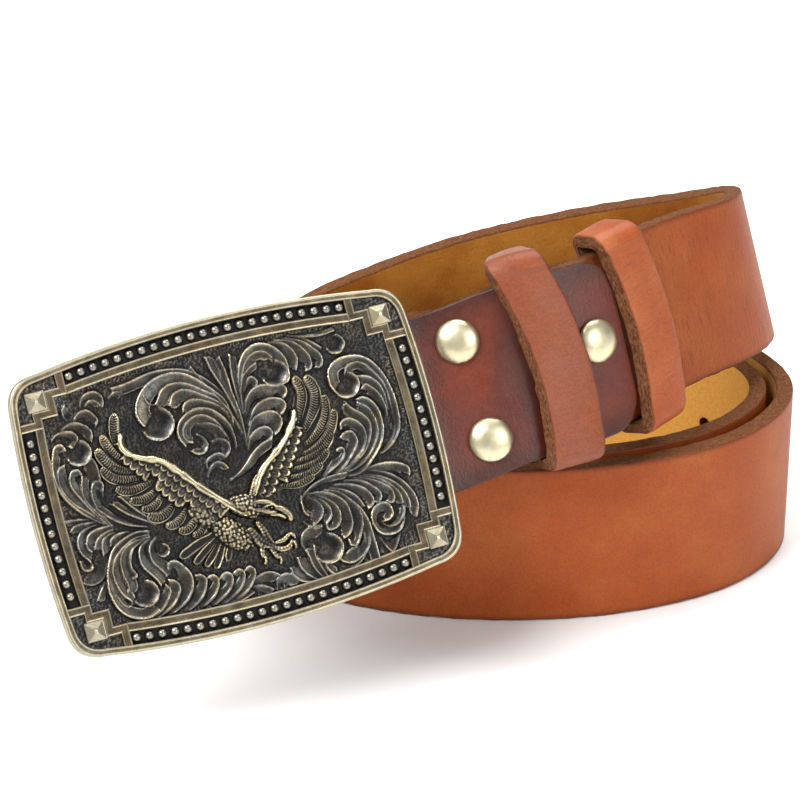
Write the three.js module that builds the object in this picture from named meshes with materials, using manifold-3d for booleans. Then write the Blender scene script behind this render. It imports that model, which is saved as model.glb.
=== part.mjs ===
import * as THREE from 'three';
import { mergeVertices } from 'three/addons/utils/BufferGeometryUtils.js';
import Module from 'manifold-3d';

// Western belt, coiled and standing on its lower edge, with its cast plate buckle
// at the front left. Millimetres, Z up, the viewer's side is -Y.

// Leather sizes, and the spacing of the strap's facets
const STRAP_WIDTH = 38;
const STRAP_THICKNESS = 3.8;
const EDGE_BEVEL = 0.7;
const STRAP_START = 9.5;
const STRAP_END = 852;
const FINE_STEP = 5;
const FINE_END = 130;
const COARSE_STEP = 9;
const FACE_SPLITS = 2;
const FLAT_ENOUGH = 0.02;
const TIP_LENGTH = 15;
const TAB_THICKNESS = 2.2;
const TAB_END = 62.5;
const TAB_BACK_END = 60;
const TAB_CORNER = 8;
const TAB_BEVEL = 0.4;
const FOLD_STEPS = 8;
const LEATHER_GAP = 0.3;

// The strap lies under the tab's front leaf, then comes out to the outer line of the coil
const UNDER_TAB = TAB_THICKNESS + LEATHER_GAP;
const EASE_START = 77;
const EASE_END = 117;

// Adjustment holes near the tip
const HOLE_DIAMETER = 3.2;
const HOLE_FIRST = 784;
const HOLE_PITCH = 25;
const HOLE_COUNT = 5;

// The bar that the tab folds round, and the fold
const BAR_AT = 5;
const BAR_RADIUS = 1.7;
const STACK = 2 * UNDER_TAB + STRAP_THICKNESS;

// Rivets: along the strap, up the strap
const RIVET_CAP_RADIUS = 4.7;
const RIVET_CAP_HEIGHT = 2.1;
const RIVET_GAP = 0.45;
const RIVET_POST_RADIUS = 1.6;
const RIVET_HOLE_RADIUS = 1.95;
const RIVET_BACK_RADIUS = 3.9;
const RIVET_BACK_HEIGHT = 0.9;
const RIVETS = [
  { name: 'rivet_upper', along: 24.3, up: 30 },
  { name: 'rivet_lower', along: 26, up: 8 },
  { name: 'rivet_rear', along: 54.5, up: 21 },
];

// Keepers: centre along the strap, width, clear opening in depth and height
const KEEPER_THICKNESS = 2.7;
const KEEPER_SWEEP = 0.0055;
const KEEPER_SWEEP_CENTRE = 15;
const KEEPERS = [
  {
    name: 'keeper_front', along: 43.3, width: 12.6,
    front: 2.7, back: -9.15, bottom: -0.4, top: 41.2, colour: 0xa8604a,
  },
  {
    name: 'keeper_rear', along: 68.9, width: 12.8,
    front: 0.4, back: -6.75, bottom: -0.4, top: 39.8, colour: 0xc0663c,
  },
];

// Lower coil: the outer face is an oval, and each later turn lies further in
const OVAL_CENTRE = [24.3, -6.7];
const OVAL_HALF_LENGTH = 64;
const OVAL_HALF_DEPTH = 40.5;

// Upper turn: the outer face's bottom edge, and how far its rulings lean off upright
// x, y, z, leanX, leanY
const UPPER_TURN = [
  [-3.15, -66.1, 38.6, -0.252, 0.446],
  [4.32, -63.35, 39.4, -0.252, 0.446],
  [11.79, -60.6, 40.1, -0.252, 0.446],
  [31, -54.8, 45.4, -0.24, 0.35],
  [46, -46.6, 46.2, -0.235, 0.27],
  [58.5, -34.2, 47.2, -0.23, 0.2],
  [69, -21.5, 46.6, -0.235, 0.16],
  [78.5, -8.5, 44.6, -0.24, 0.1],
  [84.8, 5.2, 42.2, -0.25, 0.02],
  [84.8, 20.8, 37.8, -0.24, -0.02],
  [73.4, 33, 30.9, -0.2, -0.04],
  [55, 39, 25.3, -0.16, -0.05],
  [36, 41, 20.2, -0.13, -0.04],
  [16, 39.9, 15, -0.1, -0.02],
  [-3, 35.4, 10.2, -0.06, -0.01],
  [-21, 27.3, 6, -0.02, 0],
  [-34, 14.5, 2.6, 0, 0],
];
// turn angle in degrees, offset outwards from the oval, height of the bottom edge
const LOWER_TURNS = [
  [195, 0.6, 0.6], [215, 0, 0], [240, 0, 0], [270, 0, 0], [300, 0, 0], [330, 0, 0],
  [360, 0, 0], [390, 0, 0], [420, 0, 0], [450, -0.8, 0], [480, -2.5, 0], [510, -4.8, 0],
  [540, -6, 0], [570, -6, 0], [600, -6, 0], [630, -6, 0], [660, -6, 0], [690, -6, 0],
  [720, -6, 0], [750, -6.2, 0], [780, -6.8, 0], [810, -8, 0], [835, -9.5, 0],
];

// Buckle plate: centre, and its turn, lean and tilt in degrees
const BUCKLE_CENTRE = [-32.94, -73.39, 52.6];
const BUCKLE_YAW = 17.06;
const BUCKLE_LEAN = 30.2;
const BUCKLE_ROLL = 6.32;
// The plate's bowed outline: half sizes at the middle of a side and near the corners
const PLATE_HALF_LENGTH = 43.9;
const PLATE_HALF_LENGTH_AT_CORNER = 42.8;
const PLATE_HALF_HEIGHT = 32.3;
const PLATE_HALF_HEIGHT_AT_CORNER = 29.5;
const PLATE_CORNER_RUN = 6.5;
const PLATE_BACK = -3.4;
const PLATE_FLOOR = -0.9;
const BACK_RECESS = 1.2;
const BACK_BORDER = 3.2;
const BORDER_TOP = 0;
const BAND_TOP = -0.15;
const OUTLINE_SEGMENTS = 5;
const RIM_WIDTH = 1.7;
const CHANNEL_WIDTH = 2.7;
const BAND_WIDTH = 2;
const BEAD_RADIUS = 0.85;
const BEAD_PITCH = 2.77;
const BEADS_LONG = 22;
const BEADS_SHORT = 13;
// Corner blocks
const CROSSBAR_LONG_AT = 31.3;
const CROSSBAR_SHORT_AT = 19.2;
const CROSSBAR_WIDTH = 1.8;
const PYRAMID_AT = [37.2, 24.0];
const PYRAMID_SIZE = 4;
const PYRAMID_TOP = 1.2;
const PAD_SIZE = 5.4;
// Fittings on the plate's back: bar loop on the right, hook post on the left
const BAR_PLATE_X = 34;
const STRAP_PLATE_Y = 2.7;
const TAB_PLATE_Z = -5.5;
const LUG_THICKNESS = 3;
const LUG_LENGTH = 5;
const LUG_CLEARANCE = 0.8;
const HOOK_X = -29;
const HOOK_RADIUS = 2;
const HOOK_LENGTH = 6.5;
const HOOK_HEAD_RADIUS = 3;
const HOOK_HEAD_HEIGHT = 1.4;
const SEAT = 0.5;
const PASS_THROUGH = 5;

// Ornament lines on the plate, millimetres from the ornament's own middle
const ORNAMENT_SHIFT = [1, 0.3];
// width, height over the floor, then the line's x, y pairs
const SCROLLS = [
  [1.5, 1.1, 1.5, 4, 0.5, 12, -3, 20, -9, 24, -15, 23.3, -19, 20, -19, 15.5, -16.5, 13.2],
  [1.6, 1, 0.5, 6, -2, 13, -6, 18, -10, 21, -14, 20, -15.6, 17.3],
  [1.4, 0.9, -1, 6, -3.5, 12.5, -7, 16.5, -10, 18.8, -11.5, 16.5],
  [1.2, 0.9, -36.5, 15.5, -34, 17.5, -31, 16.5, -31.5, 14, -33.5, 14],
  [1.2, 0.9, -29, 18.5, -28.8, 14, -30, 10, -32.5, 9],
  [1.3, 0.9, -35, 14.5, -37.5, 12, -38, 7, -36.5, 1, -33, -3],
  [1.4, 1, -34.5, 8.5, -33, 8, -33.5, 3, -32, -0.5, -29, -4.3, -24, -6.5],
  [1.2, 0.9, -36, 10.2, -36.8, 6, -36, 2, -33, -1.8, -30, -4],
  [1.3, 0.9, -30, 7, -31, 4, -30.5, 1, -28, -2.5, -24, -5],
  [1.7, 1.1, -19.5, -8.5, -23, -6.8, -28, -8, -31.5, -12, -32.8, -17, -31, -22, -27, -24, -23, -23],
  [1.5, 0.9, -21.5, -8.8, -26, -9.6, -29, -13, -30.4, -17, -29, -20.8],
  [1.3, 0.9, -21.5, -9.5, -25, -11, -26.6, -14.5, -26, -16],
  [1.3, 0.8, -21, -11, -23.8, -12.2, -23, -15, -21, -18.5],
  [1.2, 1, -28.6, -19, -27, -16.6, -24.5, -17.6, -22.8, -20.5, -24, -23],
  [1.7, 1, 11, -9.6, 14, -8.6, 18, -10, 21.5, -14, 22, -19, 19, -23.4, 15.5, -22.8],
  [1.4, 0.9, 11.3, -10.4, 11, -12.5, 13, -14.5, 15, -12.5, 13.5, -10.8],
  [1.4, 0.9, 14.5, -10.5, 18, -12, 20, -15.3, 19.3, -18, 17.3, -19],
  [1.2, 1, 10.6, -20.5, 11, -18.4, 13.4, -17.3, 16.4, -18.6, 16.8, -21.6],
  [1.5, 1, 32, -14.5, 32, -17.5, 29.5, -20, 26, -20, 24, -18, 24.5, -15.4, 27.5, -14.8],
  [1, 0.9, 26.2, -16.6, 27, -18.6, 29.4, -17.8, 30.5, -15.8],
  [1.3, 0.8, 25.5, -6.8, 30.5, -8.2, 33.5, -12, 34.2, -17],
  [1.5, 0.8, 27.5, -5.8, 31.5, -6, 34.8, -8.2],
  [1.3, 0.8, 23.8, -19.5, 23.5, -23, 24.3, -26],
  [1.5, 1, 13, -7.6, 20, -6.4, 27, -4, 31, 1, 31.5, 7, 29, 10.8],
  [1.4, 0.9, 16, -6.2, 22, -5, 27, -1.8, 29.2, 3, 27.8, 7.6, 25, 9.6],
  [1.4, 0.9, 17, -5.4, 22, -4, 25.8, -1, 27, 2.8, 25.4, 5.4, 23, 5],
  [1.3, 0.9, 18, -4.8, 22, -2.5, 23.8, 1, 23.2, 3.2, 21.3, 3],
  [1.7, 1.1, 30, -4, 34, -1, 35.4, 5, 35, 11, 33, 15.6, 29, 17.6, 25, 17, 23, 14, 23.5, 10.8],
  [1.4, 0.9, 27.4, 13.8, 30, 15, 32.4, 12, 33.2, 7.5, 32.6, 3],
  [1.5, 1, 2.5, 3, 3, 10, 4.2, 16, 6.6, 21, 10, 23.6, 13.4, 22, 14.4, 18.6, 13, 15.6],
  [1.3, 0.9, 5.5, 19.5, 7.5, 22, 10.3, 21.8],
  [1.4, 0.8, 12.5, 24.4, 16, 22.4, 17.4, 19, 17, 17],
  [1.4, 0.8, 15, 24.6, 19, 22.4, 20.4, 19, 19.6, 17.2],
  [1.4, 0.8, 17.6, 24.4, 21, 22.4, 22.8, 19.4, 22, 17.2],
  [1.5, 0.8, 3.5, 6, 5, 10, 8, 12.8, 11, 12.4],
  [1.4, 0.8, 4, 6, 6.4, 9.3, 9.5, 9.8, 10.8, 8],
  [1.4, 0.8, 4.6, 12.6, 7.5, 15.6, 11.5, 14.4],
  [1.3, 0.9, 1.5, 8, 0, 16, -3, 22, -5.4, 24.8],
  [1.3, 0.9, 2, 9, 1, 17, -1.2, 24.6],
  [1.3, 0.9, 2.4, 9, 2.4, 18, 2, 25],
];
// Round bosses where scrolls end: x, y, radius, height over the floor
const BOSSES = [
  [-14.6, 13.4, 3.6, 1], [-32.4, 12.2, 2.6, 0.9], [-34.3, -9.8, 1.5, 0.6], [-26.2, -19.6, 1.8, 0.7],
  [13.6, -19.8, 2.4, 0.8], [11.6, 18, 2.7, 0.9], [26, 11.8, 2.7, 0.9], [26.4, 20.6, 1.7, 0.7],
];

// Eagle: the wings' sheets as outlines
const LEFT_WING = [
  -23, 12.6, -22.6, 10.4, -20, 8, -14, 4.6, -8.5, -2.4, -3, -6.4, -8, -9.6, -12.5, -10.4, -15, -9,
  -18, -7, -20.4, -4.6, -22.4, -2, -24, 0.2, -26, 2.6, -27.8, 6, -28.4, 9.4, -27.6, 12.4, -26.6, 14.8,
  -24.9, 13.4, -24.2, 16.6, -22.6, 18, -22.3, 15.4,
];
const RIGHT_WING = [
  14, 8.8, 15.4, 12, 16, 16, 17, 15.4, 18.4, 15.6, 19.6, 12, 20.6, 11.2, 21.4, 9, 22.8, 7.6, 22.4, 4.6,
  20.6, 1.4, 19, -0.8, 18, -3.6, 15.6, -5.4, 11, -6.6, 6.6, -6.2, 2, -7.4, 0.6, -5.6, 2.4, -2.4, 5, 0.6,
  9.2, 3.6, 12, 6,
];
// width, height over the floor, then the line's x, y pairs
const WING_EDGES = [
  [1.8, 2.4, -23.2, 13.2, -22.6, 10.4, -20, 8, -16.5, 6.2, -14, 4.5, -11, 0.6, -8.5, -2.4, -5, -5, -1, -7],
  [1.8, 2.2, 14, 9, 12, 6, 9, 3.5, 5, 0.5, 2.5, -2.5, 1, -6],
];
const FEATHERS = [
  [1.7, 1.7, -22.9, 12, -24.2, 14.4, -23, 18],
  [1.7, 1.7, -21.8, 9.5, -25, 11.8, -26.8, 15],
  [1.7, 1.6, -20.4, 7.6, -25, 9, -28.4, 12.4],
  [1.7, 1.6, -20, 5.8, -24.5, 6, -28.2, 9.2],
  [1.7, 1.5, -19.8, 4, -24, 3.6, -27.6, 6],
  [1.7, 1.5, -19.2, 2, -23, 1.4, -26, 3],
  [1.7, 1.5, -18.2, 0.2, -21.5, -1, -24, 0.2],
  [1.7, 1.5, -16.8, -1.6, -19.5, -3.2, -22.2, -2],
  [1.7, 1.5, -15.2, -3.2, -18, -5.4, -20.6, -4.6],
  [1.7, 1.5, -13.6, -5, -16.2, -7.5, -18.4, -6.8],
  [1.7, 1.5, -11.8, -6.8, -13.8, -9.4, -15.6, -8.8],
  [1.7, 1.6, 13.6, 8, 16.4, 12, 16, 16],
  [1.7, 1.6, 14.4, 6.6, 19, 10.6, 18.6, 15.6],
  [1.7, 1.6, 15, 5, 20, 8, 21, 11.2],
  [1.7, 1.5, 15, 3.4, 20, 5, 22.8, 8],
  [1.7, 1.5, 14.4, 1.8, 19.4, 2.6, 22, 4.8],
  [1.7, 1.5, 13, 0.2, 17, 0, 20.2, 1.4],
  [1.7, 1.5, 11, -1.4, 15, -2.2, 18.8, -0.8],
  [1.7, 1.4, 9.4, -2.8, 14, -4.4, 18, -3.4],
  [1.7, 1.4, 7.4, -4.6, 11.5, -6, 15.8, -5.2],
  [1.6, 1.5, -7, -11.4, -12, -12.6, -17, -14],
  [1.6, 1.5, -6.6, -12.2, -10.6, -14.2, -14, -16.4],
  [1.6, 1.5, -6, -12.8, -9, -15.6, -11.8, -18],
  [1.6, 1.5, -5.4, -13, -7.6, -16, -9.8, -18.6],
  [1.6, 1.4, -4.6, -13, -6, -15.6, -7.4, -17.4],
];
const LEGS = [
  [1.8, 1.8, -2.5, -12.5, 1, -14.8, 4, -16.4, 7, -17.2],
  [1.5, 1.6, 1, -14.8, 2.2, -17.6, 3.4, -19.6],
  [1.4, 1.6, 3.6, -16.2, 6.6, -15.4, 7.6, -16.4],
  [1.6, 1.6, -1, -12, 0.6, -13.4, 2.2, -14],
];
// Rounded masses: x, y, z, half sizes along, across and in height, turn in degrees
const MASSES = [
  [-5, -10.6, -0.9, 5.4, 3, 2.7, -42],
  [-9.6, -6.8, -0.9, 4.2, 2.4, 2.2, -45],
  [-0.4, -7, -0.9, 4.2, 2.8, 2.8, -24],
  [3.6, -8.8, -0.9, 2.6, 1.9, 3, -20],
];
const BEAK = [1.7, 2.2, 4.6, -9, 6.6, -10, 7.8, -12.2];

const wasm = await Module();
wasm.setup();

// Closed three.js geometry to a solid, and back
function solidOf(geometry) {
  const bare = geometry.clone();
  bare.deleteAttribute('normal');
  bare.deleteAttribute('uv');
  const welded = mergeVertices(bare, 1e-4);
  return new wasm.Manifold(new wasm.Mesh({
    numProp: 3,
    vertProperties: new Float32Array(welded.attributes.position.array),
    triVerts: new Uint32Array(welded.index.array),
  }));
}

function geometryOf(solid) {
  const mesh = solid.getMesh();
  const geometry = new THREE.BufferGeometry();
  geometry.setAttribute('position', new THREE.BufferAttribute(new Float32Array(mesh.vertProperties), 3));
  geometry.setIndex(new THREE.BufferAttribute(new Uint32Array(mesh.triVerts), 1));
  geometry.computeVertexNormals();
  return geometry;
}

function unionOf(solids) {
  return solids.reduce((whole, solid) => whole.add(solid));
}

// The largest closed skin of a union, with the small pockets between raised lines filled
function outerSkin(solid) {
  const parts = solid.simplify(0.1).decompose();
  return parts.reduce((best, part) => (part.volume() > best.volume() ? part : best));
}

// Every vertex moved by a function of its place
function mapped(geometry, place) {
  const position = geometry.attributes.position;
  const point = new THREE.Vector3();
  for (let i = 0; i < position.count; i += 1) {
    point.fromBufferAttribute(position, i);
    place(point);
    position.setXYZ(i, point.x, point.y, point.z);
  }
  return geometry;
}

function leather(colour, roughness) {
  return new THREE.MeshStandardMaterial({ color: colour, roughness, metalness: 0 });
}

function metal(colour, roughness) {
  return new THREE.MeshStandardMaterial({ color: colour, roughness, metalness: 1 });
}

// Path of the strap: stations joined by a natural cubic spline in each column
function lowerStation([degrees, offset, height]) {
  const angle = THREE.MathUtils.degToRad(degrees);
  const normal = new THREE.Vector2(Math.cos(angle) / OVAL_HALF_LENGTH, Math.sin(angle) / OVAL_HALF_DEPTH);
  normal.normalize();
  return [
    OVAL_CENTRE[0] + OVAL_HALF_LENGTH * Math.cos(angle) + offset * normal.x,
    OVAL_CENTRE[1] + OVAL_HALF_DEPTH * Math.sin(angle) + offset * normal.y,
    height, 0, 0,
  ];
}

const stations = [...UPPER_TURN, ...LOWER_TURNS.map(lowerStation)];
const reach = [0];
for (let i = 1; i < stations.length; i += 1) {
  const [a, b] = [stations[i - 1], stations[i]];
  reach.push(reach[i - 1] + Math.hypot(b[0] - a[0], b[1] - a[1], b[2] - a[2]));
}

function secondDerivatives(values) {
  const n = values.length;
  const bend = new Array(n).fill(0);
  const work = new Array(n).fill(0);
  for (let i = 1; i < n - 1; i += 1) {
    const ratio = (reach[i] - reach[i - 1]) / (reach[i + 1] - reach[i - 1]);
    const pivot = ratio * bend[i - 1] + 2;
    const slope = (values[i + 1] - values[i]) / (reach[i + 1] - reach[i])
      - (values[i] - values[i - 1]) / (reach[i] - reach[i - 1]);
    bend[i] = (ratio - 1) / pivot;
    work[i] = (6 * slope / (reach[i + 1] - reach[i - 1]) - ratio * work[i - 1]) / pivot;
  }
  for (let i = n - 2; i > 0; i -= 1) bend[i] = bend[i] * bend[i + 1] + work[i];
  bend[0] = 0;
  return bend;
}

const columns = [0, 1, 2, 3, 4].map((k) => {
  const values = stations.map((row) => row[k]);
  return { values, bend: secondDerivatives(values) };
});

function along(s) {
  let i = reach.findIndex((r) => r > s) - 1;
  if (i < 0) i = reach.length - 2;
  const h = reach[i + 1] - reach[i];
  const b = (s - reach[i]) / h;
  const a = 1 - b;
  return columns.map(({ values, bend }) => a * values[i] + b * values[i + 1]
    + ((a ** 3 - a) * bend[i] + (b ** 3 - b) * bend[i + 1]) * h * h / 6);
}

// Frame at a length s along the strap and a height up it: place, ruling, outward normal
function frameAt(s, up) {
  const step = 0.05;
  const surface = (u) => {
    const row = along(u);
    const lean = new THREE.Vector3(row[3], row[4], Math.sqrt(1 - row[3] ** 2 - row[4] ** 2));
    const foot = new THREE.Vector3(row[0], row[1], Math.max(row[2], 0));
    return { ruling: lean, at: foot.addScaledVector(lean, up) };
  };
  const { ruling, at } = surface(s);
  const tangent = surface(s + step).at.sub(surface(s - step).at);
  return { at, ruling, normal: tangent.cross(ruling).normalize() };
}

// Flat leather (x along, y up, z outwards) laid on the coil
function onCoil(point) {
  const { at, normal } = frameAt(point.x, point.y);
  point.copy(at.addScaledVector(normal, point.z));
}

// Lengths along the strap where its facets meet
const facetLengths = [];
for (let s = STRAP_START; s < FINE_END; s += FINE_STEP) facetLengths.push(s);
for (let s = FINE_END; s < STRAP_END - COARSE_STEP / 2; s += COARSE_STEP) facetLengths.push(s);
facetLengths.push(STRAP_END);

function underTab(s) {
  const t = THREE.MathUtils.clamp((s - EASE_START) / (EASE_END - EASE_START), 0, 1);
  return UNDER_TAB * (1 - t * t * (3 - 2 * t));
}

function bevelledSection(bottom, top, back, front, bevel, splits) {
  const face = (depth) => {
    const points = [new THREE.Vector2(bottom + bevel, depth)];
    for (let i = 1; i < splits; i += 1) {
      points.push(new THREE.Vector2(THREE.MathUtils.lerp(bottom, top, i / splits), depth));
    }
    return [...points, new THREE.Vector2(top - bevel, depth)];
  };
  const edge = (height, ...depths) => depths.map((depth) => new THREE.Vector2(height, depth));
  return new THREE.Shape([
    ...face(back), ...edge(top, back + bevel, front - bevel),
    ...face(front).reverse(), ...edge(bottom, front - bevel, back + bevel),
  ]);
}

function roundedRect(x0, y0, x1, y1, radius, Kind = THREE.Shape, splits = 1) {
  const shape = new Kind();
  const stop = (i) => THREE.MathUtils.lerp(x0 + radius, x1 - radius, i / splits);
  shape.moveTo(x0 + radius, y0);
  for (let i = 1; i <= splits; i += 1) shape.lineTo(stop(i), y0);
  shape.absarc(x1 - radius, y0 + radius, radius, -Math.PI / 2, 0, false);
  shape.absarc(x1 - radius, y1 - radius, radius, 0, Math.PI / 2, false);
  for (let i = splits - 1; i > 0; i -= 1) shape.lineTo(stop(i), y1);
  shape.absarc(x0 + radius, y1 - radius, radius, Math.PI / 2, Math.PI, false);
  shape.absarc(x0 + radius, y0 + radius, radius, Math.PI, 1.5 * Math.PI, false);
  return shape;
}

function extruded(shape, depth, from = 0, steps = 1, curveSegments = 5) {
  const geometry = new THREE.ExtrudeGeometry(shape, { depth, steps, bevelEnabled: false, curveSegments });
  return geometry.translate(0, 0, from);
}

// Solid pushed straight through the leathers at a place on the coil, down to a depth
function bore(s, up, radius, depth) {
  const { at, normal } = frameAt(s, up);
  const pin = new THREE.CylinderGeometry(radius, radius, depth + 2, 10).rotateX(Math.PI / 2);
  pin.translate(0, 0, -depth / 2);
  const turn = new THREE.Quaternion().setFromUnitVectors(new THREE.Vector3(0, 0, 1), normal);
  return solidOf(pin.applyQuaternion(turn).translate(at.x, at.y, at.z));
}

// Waste cut away round the end of a leather: a block with the kept outline left out
function endWaste(shape, back, front) {
  return solidOf(mapped(extruded(shape, front - back, back), onCoil));
}

// The strap: a bevelled band laid on the coil, its tip rounded, then punched
function strapGeometry() {
  const section = bevelledSection(0, STRAP_WIDTH, -STRAP_THICKNESS, 0, EDGE_BEVEL, FACE_SPLITS);
  const last = facetLengths.length - 1;
  const band = mapped(extruded(section, last, 0, last), (p) => {
    const s = facetLengths[Math.round(p.z)];
    p.set(s, p.x, p.y - underTab(s));
    onCoil(p);
  });
  const half = STRAP_WIDTH / 2;
  const shoulder = STRAP_END - TIP_LENGTH;
  const tip = new THREE.Shape();
  tip.moveTo(shoulder - 1, -2);
  tip.lineTo(STRAP_END + 2, -2);
  tip.lineTo(STRAP_END + 2, STRAP_WIDTH + 2);
  tip.lineTo(shoulder - 1, STRAP_WIDTH + 2);
  tip.lineTo(shoulder - 1, STRAP_WIDTH + 1);
  tip.lineTo(shoulder, STRAP_WIDTH);
  tip.quadraticCurveTo(STRAP_END - 1, half * 1.7, STRAP_END - 1, half);
  tip.quadraticCurveTo(STRAP_END - 1, half * 0.3, shoulder, 0);
  tip.lineTo(shoulder - 1, -1);
  let solid = solidOf(band).subtract(endWaste(tip, -STRAP_THICKNESS - 1, 1));
  for (let i = 0; i < HOLE_COUNT; i += 1) {
    const at = HOLE_FIRST + (1 - i) * HOLE_PITCH;
    solid = solid.subtract(bore(at, half, HOLE_DIAMETER / 2, STRAP_THICKNESS));
  }
  RIVETS.forEach((rivet) => {
    solid = solid.subtract(bore(rivet.along, rivet.up, RIVET_HOLE_RADIUS, STACK));
  });
  return geometryOf(solid.simplify(FLAT_ENOUGH));
}

// Middle line of the tab's leather, from behind the strap round the bar to the front leaf's end
function tabLine() {
  const inset = TAB_THICKNESS / 2;
  const leaf = (end, depth, facing) => [BAR_AT, ...facetLengths.filter((s) => s < end)]
    .map((s) => ({ s, depth, facing }));
  const line = leaf(TAB_END + FINE_STEP, -inset, Math.PI / 2).reverse();
  const radius = STACK / 2 - inset;
  for (let i = 1; i < FOLD_STEPS; i += 1) {
    const facing = Math.PI * (0.5 + i / FOLD_STEPS);
    const [s, depth] = [BAR_AT + radius * Math.cos(facing), radius * Math.sin(facing) - STACK / 2];
    line.push({ s, depth, facing });
  }
  return [...line, ...leaf(TAB_BACK_END, inset - STACK, 1.5 * Math.PI)].reverse();
}

// The tab: one leather folded round the bar, its two leaves on both faces of the strap
function tabGeometry() {
  const line = tabLine();
  const last = line.length - 1;
  const half = TAB_THICKNESS / 2;
  const section = bevelledSection(0, STRAP_WIDTH, -half, half, TAB_BEVEL, FACE_SPLITS);
  const leaves = mapped(extruded(section, last, 0, last), (p) => {
    const { s, depth, facing } = line[Math.round(p.z)];
    p.set(s + p.y * Math.cos(facing), p.x, depth + p.y * Math.sin(facing));
    onCoil(p);
  });
  const corner = TAB_END - TAB_CORNER;
  const past = TAB_END + FINE_STEP + 1;
  const waste = new THREE.Shape();
  waste.moveTo(corner, -1);
  waste.lineTo(past, -1);
  waste.lineTo(past, STRAP_WIDTH + 1);
  waste.lineTo(corner, STRAP_WIDTH + 1);
  waste.lineTo(corner, STRAP_WIDTH);
  waste.absarc(corner, STRAP_WIDTH - TAB_CORNER, TAB_CORNER, Math.PI / 2, 0, true);
  waste.absarc(corner, TAB_CORNER, TAB_CORNER, 0, -Math.PI / 2, true);
  let solid = solidOf(leaves).subtract(endWaste(waste, -STACK - 1, 1));
  RIVETS.forEach((rivet) => {
    solid = solid.subtract(bore(rivet.along, rivet.up, RIVET_HOLE_RADIUS, STACK));
  });
  return geometryOf(solid);
}

// A keeper: a closed leather loop standing a little off the strap
function keeperGeometry(keeper) {
  const t = KEEPER_THICKNESS;
  const ring = roundedRect(
    keeper.bottom - t, keeper.back - t, keeper.top + t, keeper.front + t, 3.4, THREE.Shape, 4,
  );
  ring.holes.push(
    roundedRect(keeper.bottom, keeper.back, keeper.top, keeper.front, 0.9, THREE.Path, 4),
  );
  const loop = extruded(ring, keeper.width, keeper.along - keeper.width / 2, 3, 3);
  mapped(loop, (p) => p.set(p.z, p.x, p.y));
  return mapped(loop, (p) => {
    p.x -= KEEPER_SWEEP * (p.y - KEEPER_SWEEP_CENTRE) ** 2;
    onCoil(p);
  });
}

// A rivet: domed cap, post and flat back cap turned as one
function rivetGeometry() {
  const gap = RIVET_GAP;
  const bottom = -STACK - gap;
  const profile = [
    [0, bottom - RIVET_BACK_HEIGHT], [RIVET_BACK_RADIUS - 0.4, bottom - RIVET_BACK_HEIGHT],
    [RIVET_BACK_RADIUS, bottom - RIVET_BACK_HEIGHT * 0.5], [RIVET_BACK_RADIUS, bottom],
    [RIVET_POST_RADIUS, bottom], [RIVET_POST_RADIUS, gap],
    [RIVET_CAP_RADIUS, gap], [RIVET_CAP_RADIUS, gap + 0.35],
    [RIVET_CAP_RADIUS * 0.84, gap + RIVET_CAP_HEIGHT * 0.62],
    [RIVET_CAP_RADIUS * 0.48, gap + RIVET_CAP_HEIGHT * 0.92],
    [0, gap + RIVET_CAP_HEIGHT],
  ].map(([x, y]) => new THREE.Vector2(x, y));
  return new THREE.LatheGeometry(profile, 14).rotateX(Math.PI / 2);
}

// Outline of the plate, pulled in by an inset: bowed sides and rounded corners
function plateOutline(inset, Kind = THREE.Shape) {
  const run = Math.max(PLATE_CORNER_RUN - 0.75 * inset, 0.6);
  const [wm, wc] = [PLATE_HALF_LENGTH - inset, PLATE_HALF_LENGTH_AT_CORNER - inset];
  const [hm, hc] = [PLATE_HALF_HEIGHT - inset, PLATE_HALF_HEIGHT_AT_CORNER - inset];
  const [x, y] = [wc - run, hc - run];
  const shape = new Kind();
  shape.moveTo(-x, -hc);
  shape.quadraticCurveTo(0, -2 * hm + hc, x, -hc);
  shape.quadraticCurveTo(wc - 0.4, -hc + 0.3, wc, -y);
  shape.quadraticCurveTo(2 * wm - wc, 0, wc, y);
  shape.quadraticCurveTo(wc - 0.4, hc - 0.3, x, hc);
  shape.quadraticCurveTo(0, 2 * hm - hc, -x, hc);
  shape.quadraticCurveTo(-wc + 0.4, hc - 0.3, -wc, y);
  shape.quadraticCurveTo(-2 * wm + wc, 0, -wc, -y);
  shape.quadraticCurveTo(-wc + 0.4, -hc + 0.3, -x, -hc);
  return shape;
}

function borderRing(outer, inner, top) {
  const shape = plateOutline(outer);
  shape.holes.push(plateOutline(inner, THREE.Path));
  return solidOf(extruded(shape, top - PLATE_FLOOR + 0.2, PLATE_FLOOR - 0.2, 1, OUTLINE_SEGMENTS));
}

function block(x0, x1, y0, y1, z0, z1) {
  const box = new THREE.BoxGeometry(x1 - x0, y1 - y0, z1 - z0);
  return solidOf(box.translate((x0 + x1) / 2, (y0 + y1) / 2, (z0 + z1) / 2));
}

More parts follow.
